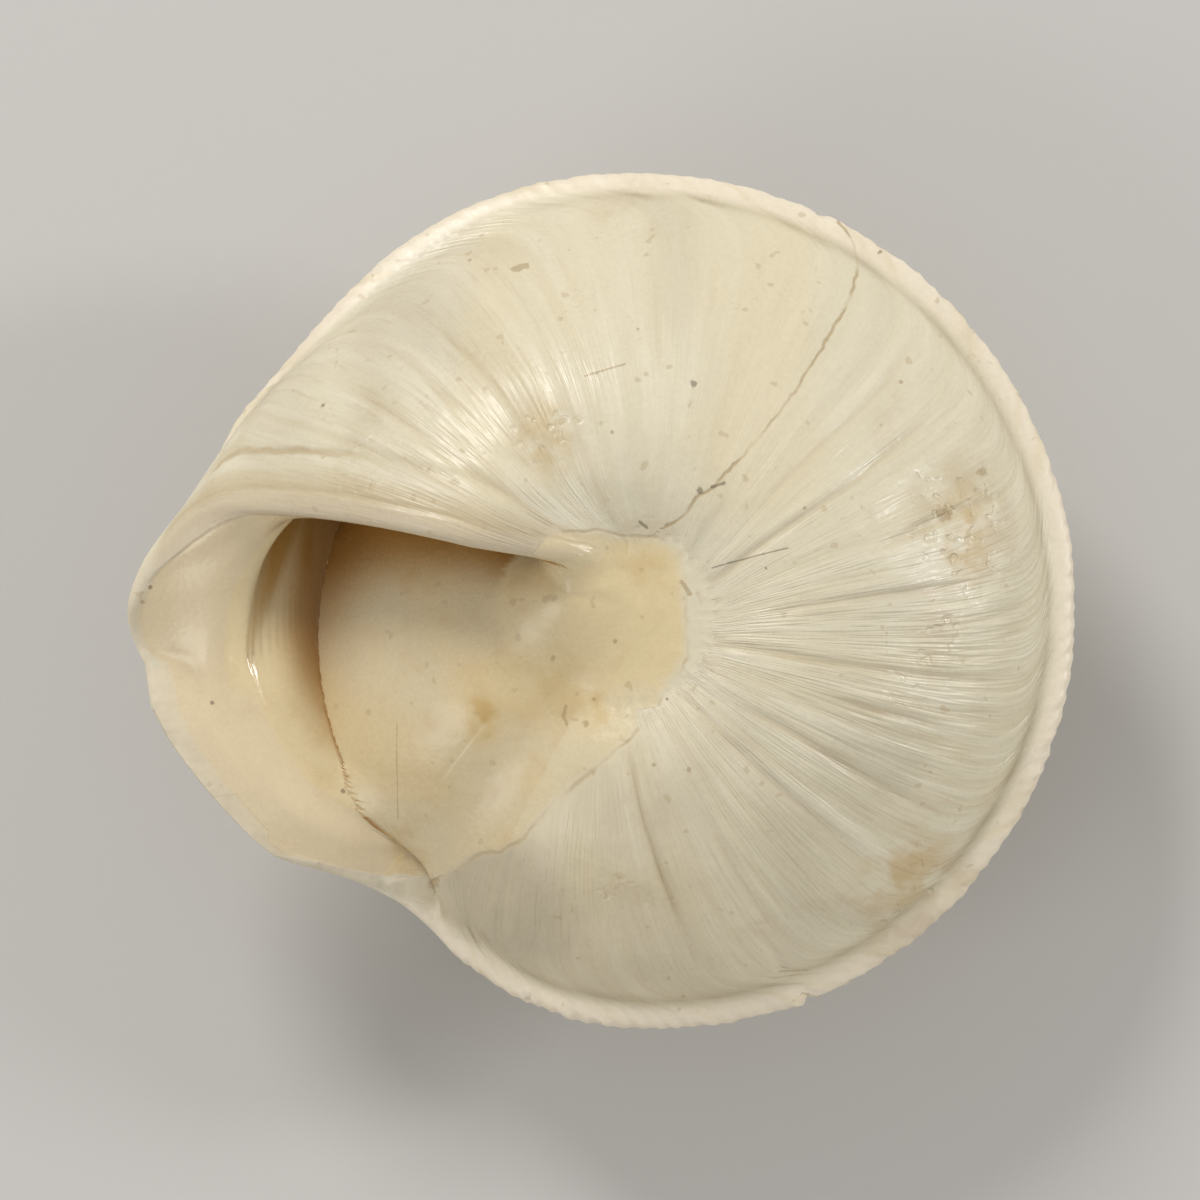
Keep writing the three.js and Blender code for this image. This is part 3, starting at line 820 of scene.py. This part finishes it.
# Marks by their pixel in the photograph: specks with a radius, and strokes with a half width, in millimetres.
DARK_SPECKS = [
    ((694, 384), 0.075), ((700, 491), 0.075), ((323, 405), 0.038), ((880, 252), 0.045), ((150, 587), 0.045),
    ((212, 703), 0.045), ((343, 791), 0.053), ((667, 699), 0.038), ((766, 568), 0.03),
]
TAN_SPECKS = [
    ((142, 602), 0.038), ((470, 260), 0.038), ((638, 329), 0.038), ((594, 699), 0.045), ((553, 658), 0.053),
    ((615, 642), 0.045), ((586, 724), 0.068), ((689, 770), 0.053), ((654, 765), 0.045), ((434, 883), 0.12),
    ((943, 514), 0.15), ((982, 472), 0.105), ((901, 382), 0.045), ((805, 508), 0.038), ((612, 432), 0.038),
]
DARK_STROKES = [
    ((712, 487), (724, 483), 0.035), ((640, 522), (647, 528), 0.03), ((712, 568), (788, 548), 0.016),
]
TAN_STROKES = [
    ((514, 269), (526, 266), 0.08), ((585, 376), (625, 364), 0.022), ((397, 722), (398, 820), 0.011),
    ((566, 706), (563, 716), 0.03), ((563, 716), (567, 724), 0.03), ((682, 582), (690, 594), 0.05),
]
WHITE_STROKES = [
    ((505, 335), (516, 352), 0.03), ((516, 352), (530, 374), 0.022), ((625, 805), (640, 868), 0.03),
]
# Soft stains: pixel, half sizes along x, y and z in millimetres, and strength.
STAINS = [
    ((482, 716), (0.5, 0.75, 0.6), 0.9), ((560, 690), (1.5, 1.2, 0.9), 0.35),
    ((965, 535), (0.75, 1.6, 1.0), 0.45), ((905, 870), (1.5, 1.3, 1.0), 0.5),
    ((660, 570), (0.9, 0.6, 0.7), 0.25), ((545, 440), (0.7, 1.2, 0.8), 0.35),
    ((410, 850), (0.6, 0.9, 0.7), 0.6), ((592, 708), (0.7, 0.6, 0.6), 0.5),
]
# The greyish patch below the callus, partly the shell's own grey and partly painted shade: pixel and radius.
GREY_PATCH = (500, 900)
GREY_PATCH_REACH = 2.4
# Pitted patches: pixel and radius in millimetres.
PITTED = [((965, 520), 1.9), ((915, 905), 1.9), ((545, 430), 1.3), ((940, 620), 1.0)]
# The healed crack from the dimple by the axis up to the keel.
CRACK = [
    (666, 527), (684, 516), (697, 498), (712, 489), (738, 462), (768, 428), (792, 396), (824, 345),
    (850, 300), (859, 262), (852, 238), (838, 222),
]


def write_values(mesh, name, values):
    kind, key = ("FLOAT", "value") if values.ndim == 1 else ("FLOAT_VECTOR", "vector")
    mesh.attributes.new(name, kind, "POINT").data.foreach_set(key, np.asarray(values, np.float32).ravel())


def toned(tones, share, tone):
    """Mixes a share of one tone into the tones of all vertices."""
    return tones + (np.array(tone[:3]) - tones) * clamp01(share)[:, None]


def line_distance(co, points):
    """Signed distance on the plan to a line through points, above 0 on its left."""
    best = np.full(len(co), 1e9)
    signed = np.full(len(co), 1e9)
    for start, end in zip(points[:-1], points[1:]):
        along_line = np.array(end[:2]) - np.array(start[:2])
        offset = co[:, :2] - np.array(start[:2])
        t = clamp01(offset @ along_line / (along_line @ along_line))
        gap = np.hypot(*(offset - t[:, None] * along_line).T)
        side = np.sign(along_line[0] * offset[:, 1] - along_line[1] * offset[:, 0])
        signed = np.where(gap < best, gap * side, signed)
        best = np.minimum(best, gap)
    return signed


def mark_surface(mesh, seen):
    """Writes what the material needs to know at each vertex."""
    co = vertex_places(mesh)
    growth, place, side = (corner_values(mesh, key) for key in ("growth", "place", "side"))
    x, y, z = co.T
    radius = np.hypot(x, y)
    around = np.mod(np.degrees(np.arctan2(y, x)) - 40, 360) + 40
    wall = side < 0.03
    outside = side < 0.4
    at = growth + lean(place)
    share = across(place)
    last = growth > LIP_ANGLE - 300

    wavy = 0.12 * noise(x * 1.4, y * 1.4, 31) + 0.06 * noise(x * 4, y * 4, 32)
    callus = edge_distance(x, y, CALLUS_EDGE) + wavy
    reached = (place > 1.9) & ((growth < -60) | (radius < 2.2))
    parietal = outside & (z > 3) & (reached | ~wall) & (around > 100) & (around < 240)
    callus = np.where(wall & ~reached, -3.0, callus)
    under_whorl = parietal & wall & (growth < -60) & (around < 200) & (radius > 2.4)
    callus = np.where(side > 0.6, 3.0, np.where(under_whorl, np.maximum(callus, 1.0), callus))
    write_values(mesh, "callus", callus)
    known = last & (wall | (side > 0.97) | (growth > LIP_ANGLE - 30))
    behind = np.where(known, np.radians(LIP_ANGLE - growth) * radius * slant(place), FAR_BEHIND)
    write_values(mesh, "behind", behind)
    inside = smooth((side - 0.5) / 0.4)
    write_values(mesh, "inside", inside)

    # Painted shade under the lip's overhang: on the parietal wall the ochre and the deeper brown grow towards
    # the lip's edge, over the inside's own ochre.
    lip_line = np.interp(radius, *zip(*LIP_LINE))
    painted_shade_under_lip = smooth((lip_line + UNDER_LIP_SHADE - around) / UNDER_LIP_SHADE)
    painted_shade_under_lip = (0.1 + 0.9 * painted_shade_under_lip) * smooth((radius - 2.2) / 0.8)
    # Inside the lip the ochre starts past the lip's pale band, the inside's own colour; farther in it darkens
    # to deep brown, painted shade deep in the mouth.
    depth = np.where(side > 0.6, smooth((behind - 0.8) / 1.7), np.where(parietal, painted_shade_under_lip, 0))
    deepest_shade = np.where(side > 0.6, smooth((behind - 2.8) / 5.0), np.where(parietal, painted_shade_under_lip**1.5, 0))
    # Brown along the corner where the palatal and parietal walls meet, stronger deeper in: painted shade in
    # that corner.
    off_keel = radius - (keel_radius(around - 360) - 1.25)
    in_mouth = smooth((around - 120) / 25) * smooth((208 - around) / 32) * ((side > 0.6) | parietal)
    junction_shade = in_mouth * bell(off_keel / np.where(side > 0.6, 0.6, 0.9))

    fade = smooth((keel_radius(at) - APEX_RADIUS) / FULL_KEEL_RADIUS)
    on_base = wall & (place > 2)
    lined = np.where(on_base, strength(RIDGE_STRENGTH, growth) * fade * smooth(-callus / 0.3), 0)
    write_values(mesh, "lined", lined)
    swells = np.where(wall, noise(growth / 2.4, share * 4, 70), 0)
    write_values(mesh, "swells", swells)
    inside_keel = keel_radius(at) - radius
    cord = np.where(place < 2, smooth((place - 0.9) / 0.15), smooth((0.42 - inside_keel) / 0.12))
    cord = np.where(wall, cord * smooth(behind - 1.5), 0)
    write_values(mesh, "cord", cord)
    furrow = np.where(wall & (place > 1.5), bell((inside_keel - FURROW_IN) / 0.1), 0)
    furrow = furrow * (0.6 + 0.5 * noise(growth / 3, 0.5, 71)) * smooth(behind / 2 - 1)
    spire = np.where(outside, smooth((1.0 - place) / 0.06), 0)
    write_values(mesh, "spire", spire)
    write_values(mesh, "crack", np.where(wall & last, line_distance(co, [seen.at(p) for p in CRACK]), 9.0))

    clouds = noise(x / 2.6, y / 2.6 + z / 3, 72) + 0.5 * noise(x / 1.1, y / 1.1 + z, 73)
    bands = np.where(on_base, noise(growth / 14, share * 2, 74) + 0.6 * noise(growth / 5, share * 4, 75), 0)
    # A warmer cream over the whorl's lower half: painted warm shade on the side turned from the light.
    warm_shade_below = np.where(wall & (place > 1), smooth((-20 - growth) / 70) * smooth(growth + 181), 0)
    tones = np.tile(CHALK[:3], (len(co), 1))
    tones = toned(tones, smooth((growth_ridges(growth, share, radius, 1) * lined + 0.9) / 1.8), WHITE)
    tones = toned(tones, 0.35 * smooth(swells), WHITE)
    tones = toned(tones, 0.4 * smooth(bands - 0.1), GREY)
    tones = toned(tones, 0.4 * smooth(clouds - 0.1), GREY)
    tones = toned(tones, 0.4 * smooth(-clouds), CREAM)
    tones = toned(tones, 0.4 * warm_shade_below, CREAM)
    # Tan in the deeper growth grooves, as deep as each groove: painted shade in the grooves.
    tones = toned(tones, np.where(on_base & last, grooves(growth, share, radius) / -0.12, 0), TAN)
    # Darker olive in the furrow inside the cord: painted shade in the groove.
    tones = toned(tones, 0.7 * furrow, FURROW_OLIVE_SHADE)
    tones = toned(tones, cord, CORD)
    tones = toned(tones, 0.5 * cord * smooth(swells), CREAM)
    # A darker yellowish band on the base along the lip: the lip's own yellower tone and painted shade on its
    # face that tilts from the light.
    tones = toned(tones, 0.65 * smooth((1.1 - behind) / 0.5) * (place > 2), BASE_LIP_TONE_AND_SHADE)
    # Dull grey below the callus: partly the shell's grey, partly painted shade.
    gap = distance(co, seen.at(GREY_PATCH))
    tones = toned(tones, 0.75 * smooth((GREY_PATCH_REACH - gap) / 1.5), DULL_GREY_AND_SHADE)
    write_values(mesh, "outer tone", tones)

    tones = np.tile(CALLUS_CREAM[:3], (len(co), 1))
    tones = toned(tones, 0.6 * smooth((clouds + 0.4) / 1.2) * outside, CHALK)
    tones = toned(tones, inside * smooth(0.8 - clouds), LIP)
    # Ochre, deep brown and junction brown: the inside's own ochre, with painted shade under the lip, deep in
    # the mouth and in the walls' corner.
    tones = toned(tones, 0.95 * depth, OCHRE)
    tones = toned(tones, 0.85 * deepest_shade, DEEP_SHADE)
    tones = toned(tones, 0.9 * junction_shade * clamp01(depth + 0.4), JUNCTION_SHADE)
    write_values(mesh, "inner tone", tones)

    stained = 0 * x
    for pixel, size, share_of in STAINS:
        gap = distance(co, seen.at(pixel), size)
        stained = np.maximum(stained, share_of * smooth((1.1 - gap) / 0.9))
    write_values(mesh, "stained", stained)
    pitted = 0 * x
    for pixel, reach in PITTED:
        pitted = np.maximum(pitted, smooth((reach - distance(co, seen.at(pixel))) / 1.2))
    few = smooth(noise(x / 3, y / 3 + z, 76) * 2 - 0.5)
    pitted = np.where(outside & (callus < 0), np.maximum(pitted, 0.5 * few), 0.1 * few)
    write_values(mesh, "pitted", pitted)


def plug(tree, socket, value):
    if isinstance(value, bpy.types.NodeSocket):
        tree.links.new(value, socket)
    elif isinstance(value, list):
        socket.default_value = [float(v) for v in value] + [0.0] * (3 - len(value))
    else:
        socket.default_value = value


class Maker:
    """Short ways to add nodes to one node tree."""

    def __init__(self, tree):
        self.tree = tree

    def add(self, kind, values=(), node_tree=None, **settings):
        node = self.tree.nodes.new(kind)
        if node_tree:
            node.node_tree = node_tree
        for key, value in settings.items():
            setattr(node, key, value)
        for socket, value in values:
            plug(self.tree, node.inputs[socket], value)
        return node

    def math(self, operation, *values, clamp=False):
        return self.add("ShaderNodeMath", enumerate(values), operation=operation, use_clamp=clamp).outputs[0]

    def vector(self, operation, *values):
        return self.add("ShaderNodeVectorMath", enumerate(values), operation=operation).outputs[0]

    def product(self, *values):
        total = values[0]
        for value in values[1:]:
            total = self.math("MULTIPLY", total, value)
        return total

    def total(self, *values):
        result = values[0]
        for value in values[1:]:
            result = self.math("ADD", result, value)
        return result

    def mix(self, share, low, high):
        node = self.add("ShaderNodeMix", [(0, share), (6, low), (7, high)], data_type="RGBA")
        return node.outputs[2]

    def smooth(self, value, low, high):
        """0 below low and 1 above high, or the other way round where low is the larger."""
        turned = low > high
        ends = [(1, min(low, high)), (2, max(low, high))]
        values = [(0, value), *ends, (3, float(turned)), (4, float(not turned))]
        return self.add("ShaderNodeMapRange", values, interpolation_type="SMOOTHSTEP").outputs[0]

    def line(self, distance, outer, inner):
        """1 nearer than inner to a line at distance 0, and 0 farther than outer."""
        return self.smooth(self.math("ABSOLUTE", distance), outer, inner)

    def centred(self, value):
        return self.math("SUBTRACT", value, 0.5)

    def known(self, name):
        return self.add("ShaderNodeAttribute", attribute_type="GEOMETRY", attribute_name=name).outputs["Fac"]

    def noise(self, place, scale, detail=2.0, roughness=0.5):
        stretched = self.vector("MULTIPLY", place, scale) if isinstance(scale, tuple) else place
        size = 1.0 if isinstance(scale, tuple) else scale
        values = [("Vector", stretched), ("Scale", size), ("Detail", detail), ("Roughness", roughness)]
        return self.add("ShaderNodeTexNoise", values).outputs["Fac"]


def nearest_group(name, long):
    """A node group: the squared distance to the nearest of three marks, in radii or half widths."""
    tree = bpy.data.node_groups.new(name, "ShaderNodeTree")
    sockets = ["X", "Y", "At X", "At Y", "Tightness", "Before"]
    if long:
        sockets += ["Length X", "Length Y", "Share X", "Share Y"]
    for socket in sockets:
        tree.interface.new_socket(socket, in_out="INPUT", socket_type="NodeSocketVector")
    tree.interface.new_socket("Distance", in_out="OUTPUT", socket_type="NodeSocketVector")
    make = Maker(tree)
    given = make.add("NodeGroupInput").outputs
    x = make.vector("SUBTRACT", given["X"], given["At X"])
    y = make.vector("SUBTRACT", given["Y"], given["At Y"])
    if long:
        part = make.vector("MULTIPLY_ADD", y, given["Share Y"], make.vector("MULTIPLY", x, given["Share X"]))
        part = make.vector("MINIMUM", make.vector("MAXIMUM", part, (0, 0, 0)), (1, 1, 1))
        x = make.vector("SUBTRACT", x, make.vector("MULTIPLY", part, given["Length X"]))
        y = make.vector("SUBTRACT", y, make.vector("MULTIPLY", part, given["Length Y"]))
    square = make.vector("MULTIPLY_ADD", y, y, make.vector("MULTIPLY", x, x))
    least = make.vector("MINIMUM", make.vector("MULTIPLY", square, given["Tightness"]), given["Before"])
    tree.links.new(least, make.add("NodeGroupOutput").inputs["Distance"])
    return tree


def marks(make, x, y, ragged, specks, lines, seen, groups):
    """The mask of some specks and strokes, with ragged soft edges."""
    nearest = (99.0, 99.0, 99.0)
    for k in range(0, len(specks), 3):
        some = [(seen.at(pixel), size) for pixel, size in specks[k : k + 3]]
        values = {
            "X": x, "Y": y, "Before": nearest,
            "At X": [p.x for p, size in some], "At Y": [p.y for p, size in some],
            "Tightness": [size**-2 for p, size in some],
        }
        nearest = make.add("ShaderNodeGroup", values.items(), node_tree=groups[0]).outputs[0]
    for k in range(0, len(lines), 3):
        some = [(seen.at(a), seen.at(b) - seen.at(a), size) for a, b, size in lines[k : k + 3]]
        squares = [d.x**2 + d.y**2 + NOT_ZERO for p, d, size in some]
        values = {
            "X": x, "Y": y, "Before": nearest,
            "At X": [p.x for p, d, size in some], "At Y": [p.y for p, d, size in some],
            "Tightness": [size**-2 for p, d, size in some],
            "Length X": [d.x for p, d, size in some], "Length Y": [d.y for p, d, size in some],
            "Share X": [d.x / square for (p, d, size), square in zip(some, squares)],
            "Share Y": [d.y / square for (p, d, size), square in zip(some, squares)],
        }
        nearest = make.add("ShaderNodeGroup", values.items(), node_tree=groups[1]).outputs[0]
    parts = make.add("ShaderNodeSeparateXYZ", [(0, nearest)]).outputs
    least = make.math("MINIMUM", make.math("MINIMUM", parts[0], parts[1]), parts[2])
    return make.smooth(make.math("MULTIPLY", least, ragged), 1.5, 0.25)


# Keeps a share finite for a stroke without length on the plan.
NOT_ZERO = 1e-6
LIME_IOR = 1.53
GLOSSIEST = 0.18
# What the material reads at each place of the surface.
KNOWN = (
    "growth", "place", "callus", "behind", "inside", "lined", "swells", "cord", "spire", "crack", "stained",
    "pitted",
)


def shell_material(seen):
    material = bpy.data.materials.new("shell lime")
    material.use_nodes = True
    tree = material.node_tree
    make = Maker(tree)
    known = {name: make.known(name) for name in KNOWN}
    object_place = make.add("ShaderNodeTexCoord").outputs["Object"]
    millimetres = [("Vector", object_place), ("Scale", (1 / MM, 1 / MM, 1 / MM))]
    place = make.add("ShaderNodeMapping", millimetres, vector_type="POINT").outputs[0]
    line_place = make.add("ShaderNodeCombineXYZ", [(0, known["growth"]), (1, known["place"])]).outputs[0]
    growth_fine = make.noise(line_place, (1.25, 7.0, 1.0), 1.0, 0.6)
    mottle = make.noise(place, 1.1, 2.0, 0.6)
    grain = make.noise(place, 9.0, 1.0, 0.65)
    speckle = make.noise(place, 3.1, 1.0, 0.6)

    callus = make.smooth(known["callus"], -0.08, 0.22)
    rim = make.smooth(known["behind"], 0.5, 0.25)
    outer = make.math("SUBTRACT", 1.0, known["inside"])

    # The outside is chalky, with faint growth lines. Callus, lip and the inside of the mouth are smooth and
    # yellower. The stored tones also hold painted shade: under the lip, deep in the mouth, in the walls'
    # corner, in grooves and the furrow, along the lip and on the lower side.
    skin = make.add("ShaderNodeAttribute", attribute_name="outer tone").outputs["Color"]
    skin = make.mix(make.product(make.smooth(growth_fine, 0.5, 0.8), known["lined"], 0.22), skin, TAN)
    skin = make.mix(make.product(known["pitted"], make.smooth(mottle, 0.38, 0.62), 0.4), skin, TAN)
    rough_chalk = make.mix(make.smooth(mottle, 0.4, 0.62), GREY, WHITE)
    skin = make.mix(make.product(known["spire"], 0.6), skin, rough_chalk)
    inner_tone_and_shade = make.add("ShaderNodeAttribute", attribute_name="inner tone").outputs["Color"]
    inner_tone_and_shade = make.mix(make.product(make.smooth(mottle, 0.5, 0.8), 0.2), inner_tone_and_shade, OCHRE)
    skin = make.mix(make.math("MAXIMUM", callus, known["inside"]), skin, inner_tone_and_shade)
    skin = make.mix(make.product(rim, 0.4), skin, LIP_EDGE)

    # Creases by the lip and along the callus, painted tan as shade in them, and the healed crack's own tan
    # line.
    wander = make.math("MULTIPLY", make.centred(speckle), 0.12)
    broken = make.smooth(mottle, 0.38, 0.6)
    behind = make.math("ADD", known["behind"], wander)
    by_lip = make.smooth(known["place"], 2.55, 2.3)
    first = make.line(make.math("SUBTRACT", behind, 0.52), 0.08, 0.01)
    second = make.line(make.math("SUBTRACT", behind, 1.33), 0.12, 0.02)
    callus_line = make.line(make.math("ADD", known["callus"], wander), 0.07, 0.01)
    crack_line = make.line(make.math("ADD", known["crack"], wander), 0.05, 0.01)
    creases = make.math("MAXIMUM", make.product(first, 0.25), make.product(second, by_lip, 0.6))
    creases = make.math("MAXIMUM", creases, make.product(callus_line, broken, 0.5))
    creases = make.product(creases, outer, make.smooth(known["place"], 2.02, 2.1))
    creases = make.math("MAXIMUM", creases, make.product(crack_line, make.math("ADD", broken, 0.35), 0.6))
    # Tan in the creases is painted shade; along the healed crack it is the crack's colour.
    skin = make.mix(creases, skin, TAN)

    skin = make.mix(make.product(known["stained"], make.smooth(mottle, 0.35, 0.6)), skin, STAIN)
    axes = make.add("ShaderNodeSeparateXYZ", [(0, place)]).outputs
    x = make.add("ShaderNodeCombineXYZ", [(k, axes[0]) for k in range(3)]).outputs[0]
    y = make.add("ShaderNodeCombineXYZ", [(k, axes[1]) for k in range(3)]).outputs[0]
    ragged = make.math("MULTIPLY_ADD", grain, 2.6, -0.3)
    seen_side = make.math("SUBTRACT", 1.0, known["spire"])
    groups = (nearest_group("specks", False), nearest_group("strokes", True))
    for specks, lines, tone, share in (
        ([], WHITE_STROKES, WHITE, 0.6),
        (TAN_SPECKS, TAN_STROKES, SPECK, 0.6),
        (DARK_SPECKS, DARK_STROKES, DARK, 0.65),
    ):
        mask = marks(make, x, y, ragged, specks, lines, seen, groups)
        skin = make.mix(make.product(mask, seen_side, share), skin, tone)
    dust = make.smooth(speckle, 0.7, 0.76)
    skin = make.mix(make.product(dust, outer, 0.4), skin, TAN)
    tone = make.math("ADD", make.product(make.centred(grain), 0.1), 1.0)
    tones = make.add("ShaderNodeCombineXYZ", [(k, tone) for k in range(3)]).outputs[0]
    skin = make.vector("MULTIPLY", skin, tones)

    # Relief too fine for the mesh, in millimetres.
    pits = make.product(make.smooth(speckle, 0.56, 0.68), known["pitted"])
    lines = make.product(make.centred(growth_fine), known["lined"], 0.03)
    swells = make.product(known["swells"], known["lined"], 0.006)
    rough = make.math("ADD", known["spire"], make.product(known["cord"], 0.4))
    height = make.total(
        lines,
        swells,
        make.product(make.centred(speckle), rough, 0.05),
        make.product(pits, -0.02),
        make.product(grain, 0.003),
        make.product(mottle, outer, 0.03),
        make.product(creases, -0.015),
    )
    bump = make.add("ShaderNodeBump", [("Height", height), ("Distance", MM), ("Strength", 1.0)])

    dullness = make.total(
        0.36,
        make.product(make.centred(mottle), 0.35),
        make.product(make.centred(grain), 0.25),
        make.product(known["spire"], 0.25),
        make.product(known["cord"], 0.05),
        make.product(callus, -0.08),
        make.product(known["inside"], -0.08),
        make.product(creases, 0.2),
        make.product(pits, -0.1),
    )
    shader = tree.nodes["Principled BSDF"]
    plug(tree, shader.inputs["Base Color"], skin)
    plug(tree, shader.inputs["Roughness"], make.math("MAXIMUM", dullness, GLOSSIEST))
    plug(tree, shader.inputs["Normal"], bump.outputs["Normal"])
    shader.inputs["IOR"].default_value = LIME_IOR
    return material


make_camera()
seen = Seen(shell.data)
mark_surface(shell.data, seen)
shell.data.materials.clear()
shell.data.materials.append(shell_material(seen))

# The floor and the lights: positions in metres, sizes, power in watts.
FLOOR_SIZE = 0.6
FLOOR_TONE = (0.62, 0.61, 0.59, 1)
KEY = ((-0.1, 0.21, 0.19), 0.1, 0.41, (1, 0.985, 0.96))
FILL = ((-0.18, -0.12, 0.15), 0.12, 0.1, (1, 0.98, 0.95))
SIDE = ((0.24, 0.04, 0.12), 0.05, 0.19, (1, 1, 1))
STUDIO_TONE = (1, 0.98, 0.95, 1)
STUDIO_LIGHT = 0.44


def make_floor():
    mesh = bpy.data.meshes.new("floor")
    corners = [(FLOOR_SIZE * i, FLOOR_SIZE * j, 0) for i, j in ((-1, -1), (1, -1), (1, 1), (-1, 1))]
    mesh.from_pydata(corners, [], [(0, 1, 2, 3)])
    floor = bpy.data.objects.new("floor", mesh)
    bpy.context.scene.collection.objects.link(floor)
    material = bpy.data.materials.new("pale floor")
    material.use_nodes = True
    shader = material.node_tree.nodes["Principled BSDF"]
    shader.inputs["Base Color"].default_value = FLOOR_TONE
    shader.inputs["Roughness"].default_value = 0.9
    mesh.materials.append(material)
    return floor


def area_light(name, position, size, power, tone):
    data = bpy.data.lights.new(name, "AREA")
    data.shape = "DISK"
    data.size = size
    data.energy = power
    data.color = tone
    light = bpy.data.objects.new(name, data)
    light.location = position
    light.rotation_euler = (CENTRE - Vector(position)).to_track_quat("-Z", "Y").to_euler()
    bpy.context.scene.collection.objects.link(light)


def light_studio():
    area_light("key", *KEY)
    area_light("fill", *FILL)
    area_light("side", *SIDE)
    world = bpy.data.worlds.new("studio")
    world.use_nodes = True
    background = world.node_tree.nodes["Background"]
    background.inputs[0].default_value = STUDIO_TONE
    background.inputs[1].default_value = STUDIO_LIGHT
    bpy.context.scene.world = world
    bpy.context.scene.view_settings.view_transform = "Standard"


floor = make_floor()
light_studio()
